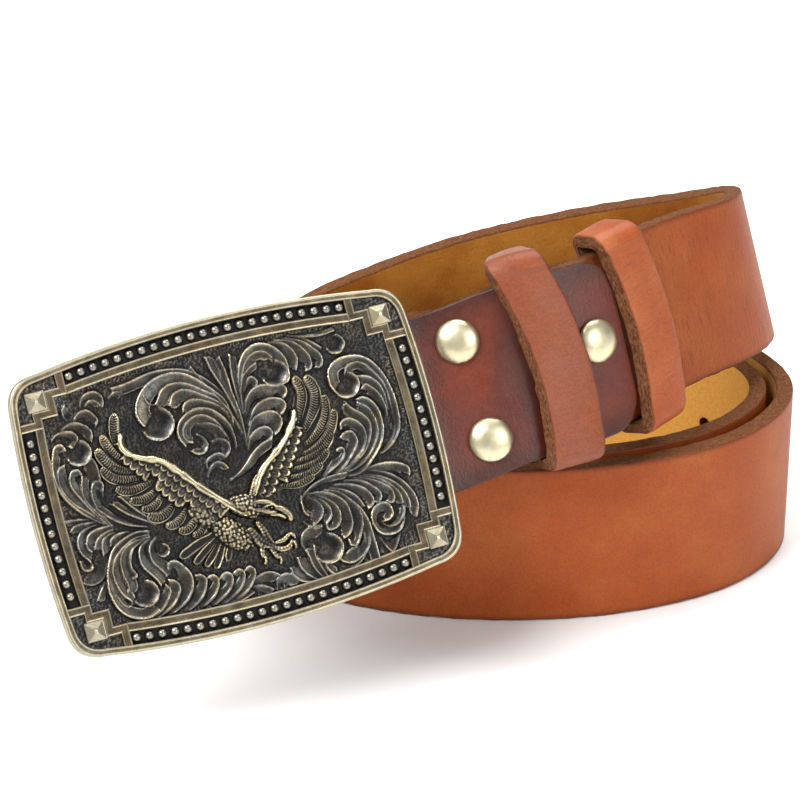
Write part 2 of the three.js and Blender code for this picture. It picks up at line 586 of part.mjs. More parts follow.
// A raised line with a crest, drawn out thin at both ends
function ridge([width, height, ...line], base = PLATE_FLOOR) {
  const points = [];
  for (let i = 0; i < line.length; i += 2) {
    points.push(new THREE.Vector3(line[i] + ORNAMENT_SHIFT[0], line[i + 1] + ORNAMENT_SHIFT[1], 0));
  }
  const curve = new THREE.CatmullRomCurve3(points, false, 'centripetal');
  const section = new THREE.Shape([
    new THREE.Vector2(-0.5, 0), new THREE.Vector2(0.5, 0), new THREE.Vector2(0.1, 1),
  ]);
  const steps = Math.min(points.length, 4);
  return solidOf(mapped(extruded(section, 1, 0, steps), (p) => {
    const t = THREE.MathUtils.clamp(p.z, 0, 1);
    const at = curve.getPointAt(t);
    const tangent = curve.getTangentAt(t);
    const swell = 0.3 + 0.7 * Math.sqrt(Math.sin(Math.PI * Math.min(0.06 + 0.9 * t, 0.94)));
    const side = p.x * width * swell;
    const rise = base - 0.3 + p.y * (height * (0.55 + 0.45 * swell) + 0.3);
    p.set(at.x - tangent.y * side, at.y + tangent.x * side, rise);
  }));
}

function boss([x, y, radius, height]) {
  const dome = new THREE.SphereGeometry(1, 10, 6).rotateX(Math.PI / 2).scale(radius, radius, height);
  return solidOf(dome.translate(x + ORNAMENT_SHIFT[0], y + ORNAMENT_SHIFT[1], PLATE_FLOOR));
}

function mass([x, y, z, long, wide, high, degrees]) {
  const lump = new THREE.SphereGeometry(1, 12, 8).rotateX(Math.PI / 2).scale(long, wide, high);
  lump.rotateZ(THREE.MathUtils.degToRad(degrees));
  return solidOf(lump.translate(x + ORNAMENT_SHIFT[0], y + ORNAMENT_SHIFT[1], z));
}

function wingSheet(outline) {
  const points = [];
  for (let i = 0; i < outline.length; i += 2) {
    points.push(new THREE.Vector2(outline[i] + ORNAMENT_SHIFT[0], outline[i + 1] + ORNAMENT_SHIFT[1]));
  }
  return solidOf(extruded(new THREE.Shape(points), 1.1, PLATE_FLOOR - 0.2));
}

// Bead rows in the border channel, following the bowed sides
function beads() {
  const inset = RIM_WIDTH + CHANNEL_WIDTH / 2;
  const rows = [];
  const bead = ([x, y]) => {
    const ball = new THREE.SphereGeometry(BEAD_RADIUS, 6, 3).rotateX(Math.PI / 2);
    rows.push(solidOf(ball.translate(x, y, PLATE_FLOOR)));
  };
  for (let i = 0; i < BEADS_LONG; i += 1) {
    const x = (i - (BEADS_LONG - 1) / 2) * BEAD_PITCH;
    const bow = (x / (PLATE_HALF_LENGTH_AT_CORNER - PLATE_CORNER_RUN)) ** 2;
    const y = PLATE_HALF_HEIGHT - inset - (PLATE_HALF_HEIGHT - PLATE_HALF_HEIGHT_AT_CORNER) * bow;
    bead([x, y]);
    bead([x, -y]);
  }
  for (let i = 0; i < BEADS_SHORT; i += 1) {
    const y = (i - (BEADS_SHORT - 1) / 2) * BEAD_PITCH;
    const bow = (y / (PLATE_HALF_HEIGHT_AT_CORNER - PLATE_CORNER_RUN)) ** 2;
    const x = PLATE_HALF_LENGTH - inset - (PLATE_HALF_LENGTH - PLATE_HALF_LENGTH_AT_CORNER) * bow;
    bead([x, y]);
    bead([-x, y]);
  }
  return rows;
}

// Corner blocks: two crossbars over the bead channel, a pad and its pyramid
function cornerBlocks() {
  const [px, py] = PYRAMID_AT;
  const half = PAD_SIZE / 2;
  const bar = CROSSBAR_WIDTH / 2;
  const low = PLATE_FLOOR - 0.2;
  const blocks = [];
  [[1, 1], [-1, 1], [1, -1], [-1, -1]].forEach(([sx, sy]) => {
    const put = (x0, x1, y0, y1, top) => blocks.push(block(
      Math.min(sx * x0, sx * x1), Math.max(sx * x0, sx * x1),
      Math.min(sy * y0, sy * y1), Math.max(sy * y0, sy * y1), low, top,
    ));
    put(CROSSBAR_LONG_AT - bar, CROSSBAR_LONG_AT + bar, py, PLATE_HALF_HEIGHT - 3.4, BAND_TOP);
    put(CROSSBAR_LONG_AT - bar, px, py, py + half, BAND_TOP - 0.1);
    put(px, PLATE_HALF_LENGTH - 1.6, CROSSBAR_SHORT_AT - bar, CROSSBAR_SHORT_AT + bar, BAND_TOP);
    put(px, px + half, CROSSBAR_SHORT_AT - bar, py, BAND_TOP - 0.1);
    put(px - half, px + half, py - half, py + half, BAND_TOP - 0.2);
    const peak = new THREE.ConeGeometry(PYRAMID_SIZE / Math.SQRT2, PYRAMID_TOP - BAND_TOP + 0.5, 4);
    peak.rotateY(Math.PI / 4).rotateX(Math.PI / 2);
    peak.translate(sx * px, sy * py, (PYRAMID_TOP + BAND_TOP - 0.5) / 2);
    blocks.push(solidOf(peak));
  });
  return blocks;
}

// Bar loop and hook post, cast on the floor of the plate's recessed back
function backFittings() {
  const floor = PLATE_BACK + BACK_RECESS + SEAT;
  const barDepth = TAB_PLATE_Z - STACK / 2;
  const lugs = [-1, 1].map((side) => {
    const inner = STRAP_PLATE_Y + side * (STRAP_WIDTH / 2 + LUG_CLEARANCE);
    const outer = inner + side * LUG_THICKNESS;
    return block(
      BAR_PLATE_X - LUG_LENGTH / 2, BAR_PLATE_X + LUG_LENGTH / 2,
      Math.min(inner, outer), Math.max(inner, outer), barDepth - LUG_LENGTH / 2, floor,
    );
  });
  const bar = new THREE.CylinderGeometry(BAR_RADIUS, BAR_RADIUS, STRAP_WIDTH + 2 * LUG_THICKNESS, 12);
  bar.translate(BAR_PLATE_X, STRAP_PLATE_Y, barDepth);
  const post = new THREE.CylinderGeometry(HOOK_RADIUS, HOOK_RADIUS, HOOK_LENGTH, 12);
  post.rotateX(Math.PI / 2).translate(HOOK_X, 0, floor - HOOK_LENGTH / 2);
  const head = new THREE.CylinderGeometry(HOOK_HEAD_RADIUS, HOOK_HEAD_RADIUS * 0.8, HOOK_HEAD_HEIGHT, 12);
  head.rotateX(Math.PI / 2).translate(HOOK_X, 0, floor - HOOK_LENGTH);
  return [...lugs, solidOf(bar), solidOf(post), solidOf(head)];
}

// The cast plate with its border, ornament, bar loop and hook post, all one piece
function buckleGeometry() {
  const plate = (inset, from, to) => solidOf(
    extruded(plateOutline(inset), to - from, from, 1, OUTLINE_SEGMENTS),
  );
  const slab = plate(0, PLATE_BACK, PLATE_FLOOR);
  const recess = plate(BACK_BORDER, PLATE_BACK - PASS_THROUGH, PLATE_BACK + BACK_RECESS);
  const rim = borderRing(0, RIM_WIDTH, BORDER_TOP);
  const bandOuter = RIM_WIDTH + CHANNEL_WIDTH;
  let band = borderRing(bandOuter, bandOuter + BAND_WIDTH, BAND_TOP);
  const [cutX, cutY] = [CROSSBAR_LONG_AT, CROSSBAR_SHORT_AT];
  [[1, 1], [-1, 1], [1, -1], [-1, -1]].forEach(([sx, sy]) => {
    const centre = [sx * (cutX + 10), sy * (cutY + 10)];
    band = band.subtract(block(centre[0] - 10, centre[0] + 10, centre[1] - 10, centre[1] + 10, -2, 2));
  });
  const face = unionOf([
    slab, rim, band, ...beads(), ...cornerBlocks(),
    ...SCROLLS.map((row) => ridge(row)), ...BOSSES.map(boss),
    wingSheet(LEFT_WING), wingSheet(RIGHT_WING),
    ...FEATHERS.map((row) => ridge(row)), ...MASSES.map(mass),
    ...WING_EDGES.map((row) => ridge(row)), ...LEGS.map((row) => ridge(row)), ridge(BEAK),
  ]);
  return geometryOf(outerSkin(unionOf([face.subtract(recess), ...backFittings()])));
}

function piece(name, geometry, material) {
  const mesh = new THREE.Mesh(geometry, material);
  mesh.name = name;
  return mesh;
}

const belt = new THREE.Group();
belt.add(piece('strap', strapGeometry(), leather(0xb5623c, 0.5)));
belt.add(piece('buckle_tab', tabGeometry(), leather(0x7a4438, 0.45)));
KEEPERS.forEach((keeper) => {
  belt.add(piece(keeper.name, keeperGeometry(keeper), leather(keeper.colour, 0.5)));
});

RIVETS.forEach((rivet) => {
  const { at, ruling, normal } = frameAt(rivet.along, rivet.up);
  const sideways = ruling.clone().cross(normal).normalize();
  const upright = normal.clone().cross(sideways);
  const mesh = piece(rivet.name, rivetGeometry(), metal(0xd8d0a8, 0.3));
  mesh.position.copy(at);
  mesh.quaternion.setFromRotationMatrix(new THREE.Matrix4().makeBasis(sideways, upright, normal));
  belt.add(mesh);
});

const buckle = new THREE.Group();
buckle.position.set(...BUCKLE_CENTRE);
buckle.quaternion.setFromEuler(new THREE.Euler(
  THREE.MathUtils.degToRad(-BUCKLE_LEAN),
  THREE.MathUtils.degToRad(-BUCKLE_ROLL),
  THREE.MathUtils.degToRad(BUCKLE_YAW),
  'ZXY',
));
const upright = new THREE.Quaternion().setFromAxisAngle(new THREE.Vector3(1, 0, 0), Math.PI / 2);
buckle.quaternion.multiply(upright);
buckle.add(piece('buckle', buckleGeometry(), metal(0x8a7a50, 0.4)));
belt.add(buckle);

// Origin under the middle of the whole belt, on the surface it stands on
belt.updateMatrixWorld(true);
const box = new THREE.Box3().setFromObject(belt, true);
belt.position.set(-(box.min.x + box.max.x) / 2, -(box.min.y + box.max.y) / 2, -box.min.z);

export default belt;
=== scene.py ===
import math
import bpy
import numpy as np
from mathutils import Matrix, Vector


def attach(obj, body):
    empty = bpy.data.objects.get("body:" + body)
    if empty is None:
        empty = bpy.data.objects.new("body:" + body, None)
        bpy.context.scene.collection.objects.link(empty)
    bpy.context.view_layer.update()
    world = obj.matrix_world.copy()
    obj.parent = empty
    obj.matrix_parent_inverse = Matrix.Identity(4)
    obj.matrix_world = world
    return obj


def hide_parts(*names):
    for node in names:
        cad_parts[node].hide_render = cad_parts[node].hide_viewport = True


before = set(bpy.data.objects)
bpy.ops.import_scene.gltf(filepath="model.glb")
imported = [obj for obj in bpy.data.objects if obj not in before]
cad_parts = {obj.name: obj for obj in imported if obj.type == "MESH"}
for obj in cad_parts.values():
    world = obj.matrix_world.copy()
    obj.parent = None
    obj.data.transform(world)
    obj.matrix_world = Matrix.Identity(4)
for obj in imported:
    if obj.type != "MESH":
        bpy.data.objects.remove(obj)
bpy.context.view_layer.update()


# ---------------------------------------------------------------------------
# Studio. A pale matt floor under large soft lights, none of it part of the
# belt. The camera looks along +Y from 28 degrees above through a long lens.
# ---------------------------------------------------------------------------

def shade(code):
    """An sRGB hex colour as the linear colour that a socket takes; another value as it is."""
    if not isinstance(code, str):
        return code
    channels = [int(code[i:i + 2], 16) / 255 for i in (1, 3, 5)]
    return [c / 12.92 if c <= 0.04045 else ((c + 0.055) / 1.055) ** 2.4 for c in channels] + [1.0]


def fill(node, inputs):
    """Fills a node's sockets, by name or in their own order, with values or links.
    A node given as a value stands for its first output."""
    for socket, value in inputs.items() if isinstance(inputs, dict) else enumerate(inputs):
        if isinstance(value, bpy.types.Node):
            value = value.outputs[0]
        if isinstance(value, bpy.types.NodeSocket):
            node.id_data.links.new(value, node.inputs[socket])
        else:
            node.inputs[socket].default_value = shade(value)


def new_finish(name):
    """A new material, with its node tree and its shader."""
    finish = bpy.data.materials.new(name)
    finish.use_nodes = True
    return finish, finish.node_tree, finish.node_tree.nodes["Principled BSDF"]


def new_object(name, points, faces, finishes, smooth=True):
    """A mesh object in the scene, from points in metres."""
    mesh = bpy.data.meshes.new(name)
    mesh.from_pydata(np.asarray(points).tolist(), [], faces)
    for finish in finishes:
        mesh.materials.append(finish)
    if smooth:
        mesh.shade_smooth()
    made = bpy.data.objects.new(name, mesh)
    bpy.context.collection.objects.link(made)
    return made


def aimed(name, data, place, target):
    """A lamp or a camera in the scene, pointing at a target."""
    made = bpy.data.objects.new(name, data)
    made.location = place
    made.rotation_euler = (Vector(target) - Vector(place)).to_track_quat("-Z", "Y").to_euler()
    bpy.context.collection.objects.link(made)
    return made


# Seamless matt paper: near white, with no gloss to mirror the belt
paper, tree, shader = new_finish("studio_paper_matt")
fill(shader, {"Base Color": "#F7F7F6", "Roughness": 0.9, "Specular IOR Level": 0.1})
FLOOR_REACH = 4
floor_corners = [(x * FLOOR_REACH, y * FLOOR_REACH, 0) for x, y in ((-1, -1), (1, -1), (1, 1), (-1, 1))]
floor = new_object("studio_floor", floor_corners, [(0, 1, 2, 3)], [paper], smooth=False)

# Softboxes: place, side in metres, power in watts
BELT_MIDDLE = (0, 0, 0.05)
SOFTBOXES = {
    "softbox_key": ((-0.85, -0.6, 1.2), 0.8, 25),
    "softbox_fill": ((0.95, -1.05, 0.8), 0.9, 11),
    "softbox_top": ((0.2, 0.65, 1.35), 1.2, 21),
}
for name, (place, side, power) in SOFTBOXES.items():
    lamp = bpy.data.lights.new(name, "AREA")
    lamp.size, lamp.energy = side, power
    aimed(name, lamp, place, BELT_MIDDLE)

AIR_GLOW = 0.36
studio_air = bpy.data.worlds.new("studio_air")
studio_air.use_nodes = True
fill(studio_air.node_tree.nodes["Background"], {"Color": "#FFFFFF", "Strength": AIR_GLOW})
bpy.context.scene.world = studio_air

CAMERA_AT, CAMERA_AIM = (-0.004144, -0.6504, 0.3915), (-0.004144, 0.029465, 0.030)
SENSOR_MM, LENS_MM = 36, 152.2
lens = bpy.data.cameras.new("camera")
lens.sensor_width, lens.lens = SENSOR_MM, LENS_MM
bpy.context.scene.camera = aimed("camera", lens, CAMERA_AT, CAMERA_AIM)
bpy.context.scene.view_settings.view_transform = "Standard"


# ---------------------------------------------------------------------------
# Strap. One long strip of vegetable-tanned cowhide, 38 mm wide and 3.8 mm
# thick, cut with raw edges, rounded at its tip and punched with five holes.
# It lies coiled, grain side out.
# ---------------------------------------------------------------------------

STRAP_WIDTH, STRAP_THICKNESS = 38, 3.8
STRAP_HALF = STRAP_WIDTH / 2
STRAP_START, STRAP_END = 9.5, 851
# The tip's length, the stations along it, and the half width that rounds it
TIP_LENGTH, TIP_STATIONS, TIP_PULL = 14, 14, 13.3
STRAP_STEP, EDGE_ROUNDING, EDGE_BAND = 1.25, 0.55, 1.5
# The strap lies this far under the tab's front leaf, and comes out between these lengths
UNDER_TAB = 2.5
EASE_START, EASE_END = 77, 117

# Outer face of the strap's first turn: foot x, y, z and the lean of the upright lines
UPPER_TURN = [
    (-3.15, -66.1, 38.6, -0.252, 0.446), (4.32, -63.35, 39.4, -0.252, 0.446),
    (11.79, -60.6, 40.1, -0.252, 0.446), (31, -54.8, 45.4, -0.24, 0.35),
    (46, -46.6, 46.2, -0.235, 0.27), (58.5, -34.2, 47.2, -0.23, 0.2),
    (69, -21.5, 46.6, -0.235, 0.16), (78.5, -8.5, 44.6, -0.24, 0.1),
    (84.8, 5.2, 42.2, -0.25, 0.02), (84.8, 20.8, 37.8, -0.24, -0.02),
    (73.4, 33, 30.9, -0.2, -0.04), (55, 39, 25.3, -0.16, -0.05),
    (36, 41, 20.2, -0.13, -0.04), (16, 39.9, 15, -0.1, -0.02),
    (-3, 35.4, 10.2, -0.06, -0.01), (-21, 27.3, 6, -0.02, 0), (-34, 14.5, 2.6, 0, 0),
]
# Lower turns round an oval: turn angle, offset outwards, height of the foot
LOWER_TURNS = [
    (195, 0.6, 0.6), (215, 0, 0), (240, 0, 0), (270, 0, 0), (300, 0, 0), (330, 0, 0),
    (360, 0, 0), (390, 0, 0), (420, 0, 0), (450, -0.8, 0), (480, -2.5, 0), (510, -4.8, 0),
    (540, -6, 0), (570, -6, 0), (600, -6, 0), (630, -6, 0), (660, -6, 0), (690, -6, 0),
    (720, -6, 0), (750, -6.2, 0), (780, -6.8, 0), (810, -8, 0), (835, -9.5, 0),
]
OVAL_CENTRE, OVAL_HALVES = (24.3, -6.7), (64, 40.5)
TO_ORIGIN = np.array((-4.1444, 29.4651, 0.0002))


def spline(stops, rows):
    """A natural cubic curve through rows of numbers, one row at each stop."""
    stops, rows = np.asarray(stops, float), np.asarray(rows, float)
    gaps, count = np.diff(stops), len(stops)
    system, push = np.eye(count), np.zeros_like(rows)
    for i in range(1, count - 1):
        system[i, i - 1:i + 2] = gaps[i - 1], 2 * (gaps[i - 1] + gaps[i]), gaps[i]
        push[i] = 6 * ((rows[i + 1] - rows[i]) / gaps[i] - (rows[i] - rows[i - 1]) / gaps[i - 1])
    bends = np.linalg.solve(system, push)

    def at(s):
        i = np.clip(np.searchsorted(stops, s, side="right") - 1, 0, count - 2)
        gap = gaps[i][:, None]
        b = (s - stops[i])[:, None] / gap
        a = 1 - b
        bent = (a ** 3 - a) * bends[i] + (b ** 3 - b) * bends[i + 1]
        return a * rows[i] + b * rows[i + 1] + bent * gap * gap / 6
    return at


def lower_station(degrees, offset, height):
    """A station of the lower turns, in the columns of the upper one."""
    turn, halves = math.radians(degrees), np.array(OVAL_HALVES)
    way = np.array((math.cos(turn), math.sin(turn)))
    out = way / halves
    x, y = OVAL_CENTRE + halves * way + offset * out / np.linalg.norm(out)
    return (x, y, height, 0, 0)


stations = np.array(UPPER_TURN + [lower_station(*row) for row in LOWER_TURNS])
steps_between = np.linalg.norm(np.diff(stations[:, :3], axis=0), axis=1)
coil = spline(np.concatenate([[0], np.cumsum(steps_between)]), stations)


def outer_face(s, up):
    """Points of the strap's outer line, and the upright direction there."""
    x, y, z, lean_x, lean_y = coil(s).T
    lean = np.column_stack([lean_x, lean_y, np.sqrt(1 - lean_x ** 2 - lean_y ** 2)])
    return np.column_stack([x, y, np.maximum(z, 0)]) + lean * up[:, None], lean


def lay(hide):
    """Places on the flat hide (along, up, outwards, in mm) laid on the coil, in metres."""
    s, up, out = np.asarray(hide, float).T
    at, lean = outer_face(s, up)
    normal = np.cross(outer_face(s + 0.05, up)[0] - outer_face(s - 0.05, up)[0], lean)
    normal /= np.linalg.norm(normal, axis=1)[:, None]
    return (at + normal * out[:, None] + TO_ORIGIN) / 1000


def eased(value):
    """A rise from 0 to 1 that starts and ends level."""
    value = np.clip(value, 0, 1)
    return value * value * (3 - 2 * value)


def unevenness(x, y, seed):
    """Smooth chance rises and falls between -1 and 1, about one to each unit."""
    size = 97
    table = np.random.default_rng(seed).uniform(-1, 1, (size, size))
    i, j = np.floor(x).astype(int), np.floor(y).astype(int)
    u, v = eased(x - i), eased(y - j)
    low, high = (table[i % size, n % size] * (1 - u) + table[(i + 1) % size, n % size] * u
                 for n in (j, j + 1))
    return low * (1 - v) + high * v


GRAIN, CUT, FLESH = 0, 1, 2


def strip_section(width, thickness, spacing, rounding):
    """Cut across a strip: its points (across, out), the kind of skin after each, and
    how many of them lie on the grain side, closer together beside its edges."""
    half, deep = width / 2, thickness / 2
    inner = half - rounding
    reach = inner - 1.6
    middle = np.linspace(-reach, reach, 2 * round(reach / spacing) + 1)
    face = [-inner, -inner + 0.4, -inner + 0.9, *middle, inner - 0.9, inner - 0.4, inner]
    arc = [(inner + rounding * math.sin(t), deep - rounding * (1 - math.cos(t)))
           for t in np.radians([22, 45, 68])]
    right = arc + [(half, d) for d in np.linspace(deep - rounding, -deep + rounding, 5)]
    right += [(a, -d) for a, d in arc[::-1]]
    points = [(a, deep) for a in face] + right
    points += [(a, -deep) for a in face[::-1]] + [(-a, d) for a, d in right[::-1]]
    kinds = [GRAIN] * (len(face) + 1) + [CUT] * (len(right) - 1)
    kinds += [FLESH] * (len(face) - 1) + [CUT] * (len(right) - 1) + [GRAIN] * 2
    return np.array(points), kinds, len(face)


def quads(rows, around, loop=False, wrap=True):
    """Faces between numbered rows of points, round each row and, for a loop, back to
    the first row."""
    a = np.arange(rows if loop else rows - 1)[:, None] * around
    b = (a + around) % (rows * around)
    j = np.arange(around if wrap else around - 1)
    k = (j + 1) % around
    return np.stack([a + j, b + j, b + k, a + k], axis=2).reshape(-1, 4)


def strip_faces(rings, kinds, closed=False):
    """Faces along a strip, with the kind of skin of each, and raw ends if it is open."""
    turns, around = rings.shape[:2]
    faces = quads(turns, around, loop=closed).tolist()
    sides = kinds * (len(faces) // around)
    if closed:
        return faces, sides
    first, last = list(range(around)), list(range((turns - 1) * around, turns * around))
    return faces + [first, last[::-1]], sides + [CUT, CUT]


def cut_back(across, half, band, by):
    """How far a strip's cut edges lie in, from nothing where the band beside them starts."""
    return -np.sign(across) * np.clip((np.abs(across) - half + band) / band, 0, 1) * by


def leather_piece(name, hide, skin, faces, sides, finishes):
    """Leather laid on the coil, with its flat places kept for its materials."""
    piece = new_object(name, lay(np.reshape(hide, (-1, 3))), faces, finishes)
    piece.data.polygons.foreach_set("material_index", sides)
    place = piece.data.attributes.new("hide", "FLOAT_VECTOR", "POINT")
    place.data.foreach_set("vector", np.asarray(skin, np.float32).ravel())
    piece.data.update()
    return piece


section, kinds, face_columns = strip_section(STRAP_WIDTH, STRAP_THICKNESS, STRAP_STEP, EDGE_ROUNDING)
shoulder = STRAP_END - TIP_LENGTH
tip = np.linspace(0.06, 0.985, TIP_STATIONS)
lengths = np.concatenate([[STRAP_START], np.arange(STRAP_START + 0.75, shoulder, STRAP_STEP),
                          shoulder + (1 - (1 - tip) ** 2) * TIP_LENGTH])
halves = np.full(len(lengths), STRAP_HALF)
halves[-TIP_STATIONS:] = (1 - tip) ** 2 * STRAP_HALF + 2 * tip * (1 - tip) * TIP_PULL

s, out = np.broadcast_arrays(lengths[:, None], section[:, 1])
across = section[:, 0] * (halves / STRAP_HALF)[:, None]
under = UNDER_TAB * (1 - eased((s - EASE_START) / (EASE_END - EASE_START)))
# the knife left the cut edges wavy by 0.12 mm every 2.2 mm, and by 0.1 mm every 1.3 mm
ragged = 0.12 * unevenness(s / 2.2, out * 1.3 + 7, 3) + 0.10 * unevenness(s / 1.3, out * 2 + 3, 4)
across = across + cut_back(section[:, 0], STRAP_HALF, EDGE_BAND, np.maximum(0.12 + ragged, 0))
rings = np.stack([s, STRAP_HALF + across, out - STRAP_THICKNESS / 2 - under], axis=2)
hide = rings.reshape(-1, 3)
skin = np.stack([s, STRAP_HALF + across, out], axis=2).reshape(-1, 3)
faces, sides = strip_faces(rings, kinds)

# Each hole: the facets round it give way to a punched ring, with a wall through the leather
HOLES_AT = range(709, 810, 25)
# radius, and depth from 1 at the grain side to -1 at the flesh side
HOLE_WALL = ((2.0, 1.0), (1.68, 0.95), (1.6, 0.75), (1.6, -0.8), (1.7, -0.96), (2.0, -1.0))
HOLE_POINTS = 16
SQUARE = [(-2, j) for j in range(-2, 2)] + [(i, 2) for i in range(-2, 2)]
SQUARE += [(2, j) for j in range(2, -2, -1)] + [(i, -2) for i in range(2, -2, -1)]
around = len(section)
front_middle, back_middle = face_columns // 2, around // 2 + face_columns // 2
dropped, hole_faces, hole_sides = set(), [], []
for hole in HOLES_AT:
    row = int(np.argmin(np.abs(lengths - hole)))
    dropped |= {(row + i) * around + middle + j for middle in (front_middle, back_middle)
                for i in range(-2, 2) for j in range(-2, 2)}
    fronts, backs = ([(row + i) * around + middle + way * j for i, j in SQUARE]
                     for middle, way in ((front_middle, 1), (back_middle, -1)))
    angles = np.arctan2(hide[fronts, 1] - STRAP_HALF, hide[fronts, 0] - hole)
    loops = [fronts]
    for radius, deep in HOLE_WALL:
        ring = np.column_stack([hole + radius * np.cos(angles), STRAP_HALF + radius * np.sin(angles),
                                np.full(HOLE_POINTS, deep * STRAP_THICKNESS / 2)])
        loops.append(range(len(hide), len(hide) + HOLE_POINTS))
        hide = np.vstack([hide, ring - (0, 0, STRAP_THICKNESS / 2)])
        skin = np.vstack([skin, ring])
    loops.append(backs)
    for one, two, kind in zip(loops, loops[1:], [GRAIN, GRAIN, CUT, CUT, CUT, FLESH, FLESH]):
        for k in range(HOLE_POINTS):
            m = (k + 1) % HOLE_POINTS
            hole_faces.append((one[m], one[k], two[k], two[m]))
            hole_sides.append(kind)
faces = [face for k, face in enumerate(faces) if k not in dropped] + hole_faces
sides = [kind for k, kind in enumerate(sides) if k not in dropped] + hole_sides


def add_node(tree, kind, inputs=(), stops=(), **settings):
    """Adds a node with its settings, its inputs and, on a colour ramp, its stops."""
    made = tree.nodes.new("ShaderNode" + kind)
    for name, value in settings.items():
        setattr(made, name, value)
    fill(made, inputs)
    if stops:
        for end, (at, code) in zip(made.color_ramp.elements, (stops[0], stops[-1])):
            end.position, end.color = at, shade(code)
    for at, code in stops[1:-1]:
        made.color_ramp.elements.new(at).color = shade(code)
    return made


def grain_leather(name, body, warm, pale, dark, roughness, specular, creasing, creased_to=1e4,
                  margin=(17.2, 19.0), middle=STRAP_HALF, handled_and_shaded=(1e4, 2e4)):
    """Vegetable-tanned grain side under a thin wax: colour that drifts over
    centimetres, close pores, fine creases across the strip and a soft shine."""
    finish, tree, shader = new_finish(name)
    hide = add_node(tree, "Attribute", attribute_name="hide").outputs["Vector"]
    along, up, _ = add_node(tree, "SeparateXYZ", (hide,)).outputs
    # drift of the dye: patches about 25 mm long, and mottling from 2 mm down to 0.1 mm
    drift = add_node(tree, "TexNoise", {"Vector": hide, "Scale": 0.04, "Detail": 3, "Roughness": 0.6})
    mottle = add_node(tree, "TexNoise", {"Vector": hide, "Scale": 0.5, "Detail": 6, "Roughness": 0.72})
    # creases run up the strip, 0.8 mm apart and some 5 mm long
    stretch = add_node(tree, "Mapping", {"Vector": hide, "Scale": (1.25, 0.2, 0.3)})
    crease = add_node(tree, "TexNoise", {"Vector": stretch, "Scale": 1, "Detail": 4, "Roughness": 0.6,
                                         "Distortion": 0.8})
    # pores are 0.2 mm in life and drawn at 0.5 mm, so that they show
    pores = add_node(tree, "TexVoronoi", {"Vector": hide, "Scale": 1.9, "Randomness": 1})
    # faint scratches at a slant, some 11 mm long
    slant = add_node(tree, "Mapping", {"Vector": hide, "Scale": (0.09, 1.3, 0.5),
                                       "Rotation": (0, 0, 0.35)})
    scratch = add_node(tree, "TexNoise", {"Vector": slant, "Scale": 1, "Detail": 2, "Roughness": 0.5})
    dye = add_node(tree, "ValToRGB", (drift,), [(0.34, warm), (0.5, body), (0.66, pale)])
    fleck = add_node(tree, "MapRange", (mottle, 0.3, 0.7, 0.9, 1.09))
    speck = add_node(tree, "MapRange", (pores, 0, 0.7, 1.07, 0.83))
    both = add_node(tree, "Math", (fleck, speck), operation="MULTIPLY")
    spotted = add_node(tree, "MixRGB", (1, dye, both), blend_type="MULTIPLY")
    # the creases fade along the strip, from four tenths of the way to where they end
    worked = add_node(tree, "MapRange", (along, 0.4 * creased_to, creased_to, creasing, 0.2 * creasing))
    fold = add_node(tree, "MapRange", (crease, 0.30, 0.46, worked, 0))
    creased = add_node(tree, "MixRGB", (fold, spotted, dark))
    rub = add_node(tree, "MapRange", (scratch, 0.70, 0.76, 0, 0.12))
    rubbed = add_node(tree, "MixRGB", (rub, creased, pale))
    # the burnished margin beside the cut edge; on the tab, widened over its outer 8 mm, it is painted shade
    # as well
    off_middle = add_node(tree, "Math", (up, middle), operation="SUBTRACT")
    to_side = add_node(tree, "Math", (off_middle,), operation="ABSOLUTE")
    burnish_and_shade = add_node(tree, "MapRange", (to_side, *margin, 0, 0.75), interpolation_type="SMOOTHSTEP")
    # painted shade beside a keeper, where its shadow falls, with some handled darkening of the dye there
    # too; on one side only
    soil_and_shade = add_node(tree, "MapRange", (along, *handled_and_shaded, 0.7, 0))
    beyond = add_node(tree, "Math", (along, handled_and_shaded[0] - 3), operation="GREATER_THAN")
    grime_and_shade = add_node(tree, "Math", (soil_and_shade, beyond), operation="MULTIPLY")
    darkest = add_node(tree, "Math", (burnish_and_shade, grime_and_shade), operation="MAXIMUM")
    wax = add_node(tree, "MapRange", (mottle, 0.3, 0.7, roughness - 0.07, roughness + 0.08))
    deep = add_node(tree, "Bump", {"Height": crease, "Strength": worked, "Distance": 0.0006})
    lump = add_node(tree, "Bump", {"Height": mottle, "Strength": 0.22, "Distance": 0.0004, "Normal": deep})
    fine = add_node(tree, "Bump", {"Height": pores, "Strength": 0.25, "Distance": 0.00012, "Normal": lump})
    fill(shader, {"Base Color": add_node(tree, "MixRGB", (darkest, rubbed, dark)), "Roughness": wax,
                  "IOR": 1.5, "Specular IOR Level": specular, "Normal": fine})
    return finish


def raw_edge(name, light, dark):
    """Raw cut edge: matt layers of fibre along the strip, tan with dark threads."""
    finish, tree, shader = new_finish(name)
    hide = add_node(tree, "Attribute", attribute_name="hide").outputs["Vector"]
    # fibre bundles 0.3 mm thick and about 1 mm long
    layers = add_node(tree, "Mapping", {"Vector": hide, "Scale": (1, 3.2, 3.2)})
    fibre = add_node(tree, "TexNoise", {"Vector": layers, "Scale": 1, "Detail": 4, "Roughness": 0.7})
    tone = add_node(tree, "ValToRGB", (fibre,), [(0.38, dark), (0.7, light)])
    nap = add_node(tree, "Bump", {"Height": fibre, "Strength": 0.9, "Distance": 0.0005})
    fill(shader, {"Base Color": tone, "Roughness": 0.85, "Specular IOR Level": 0.25, "Normal": nap})
    return finish


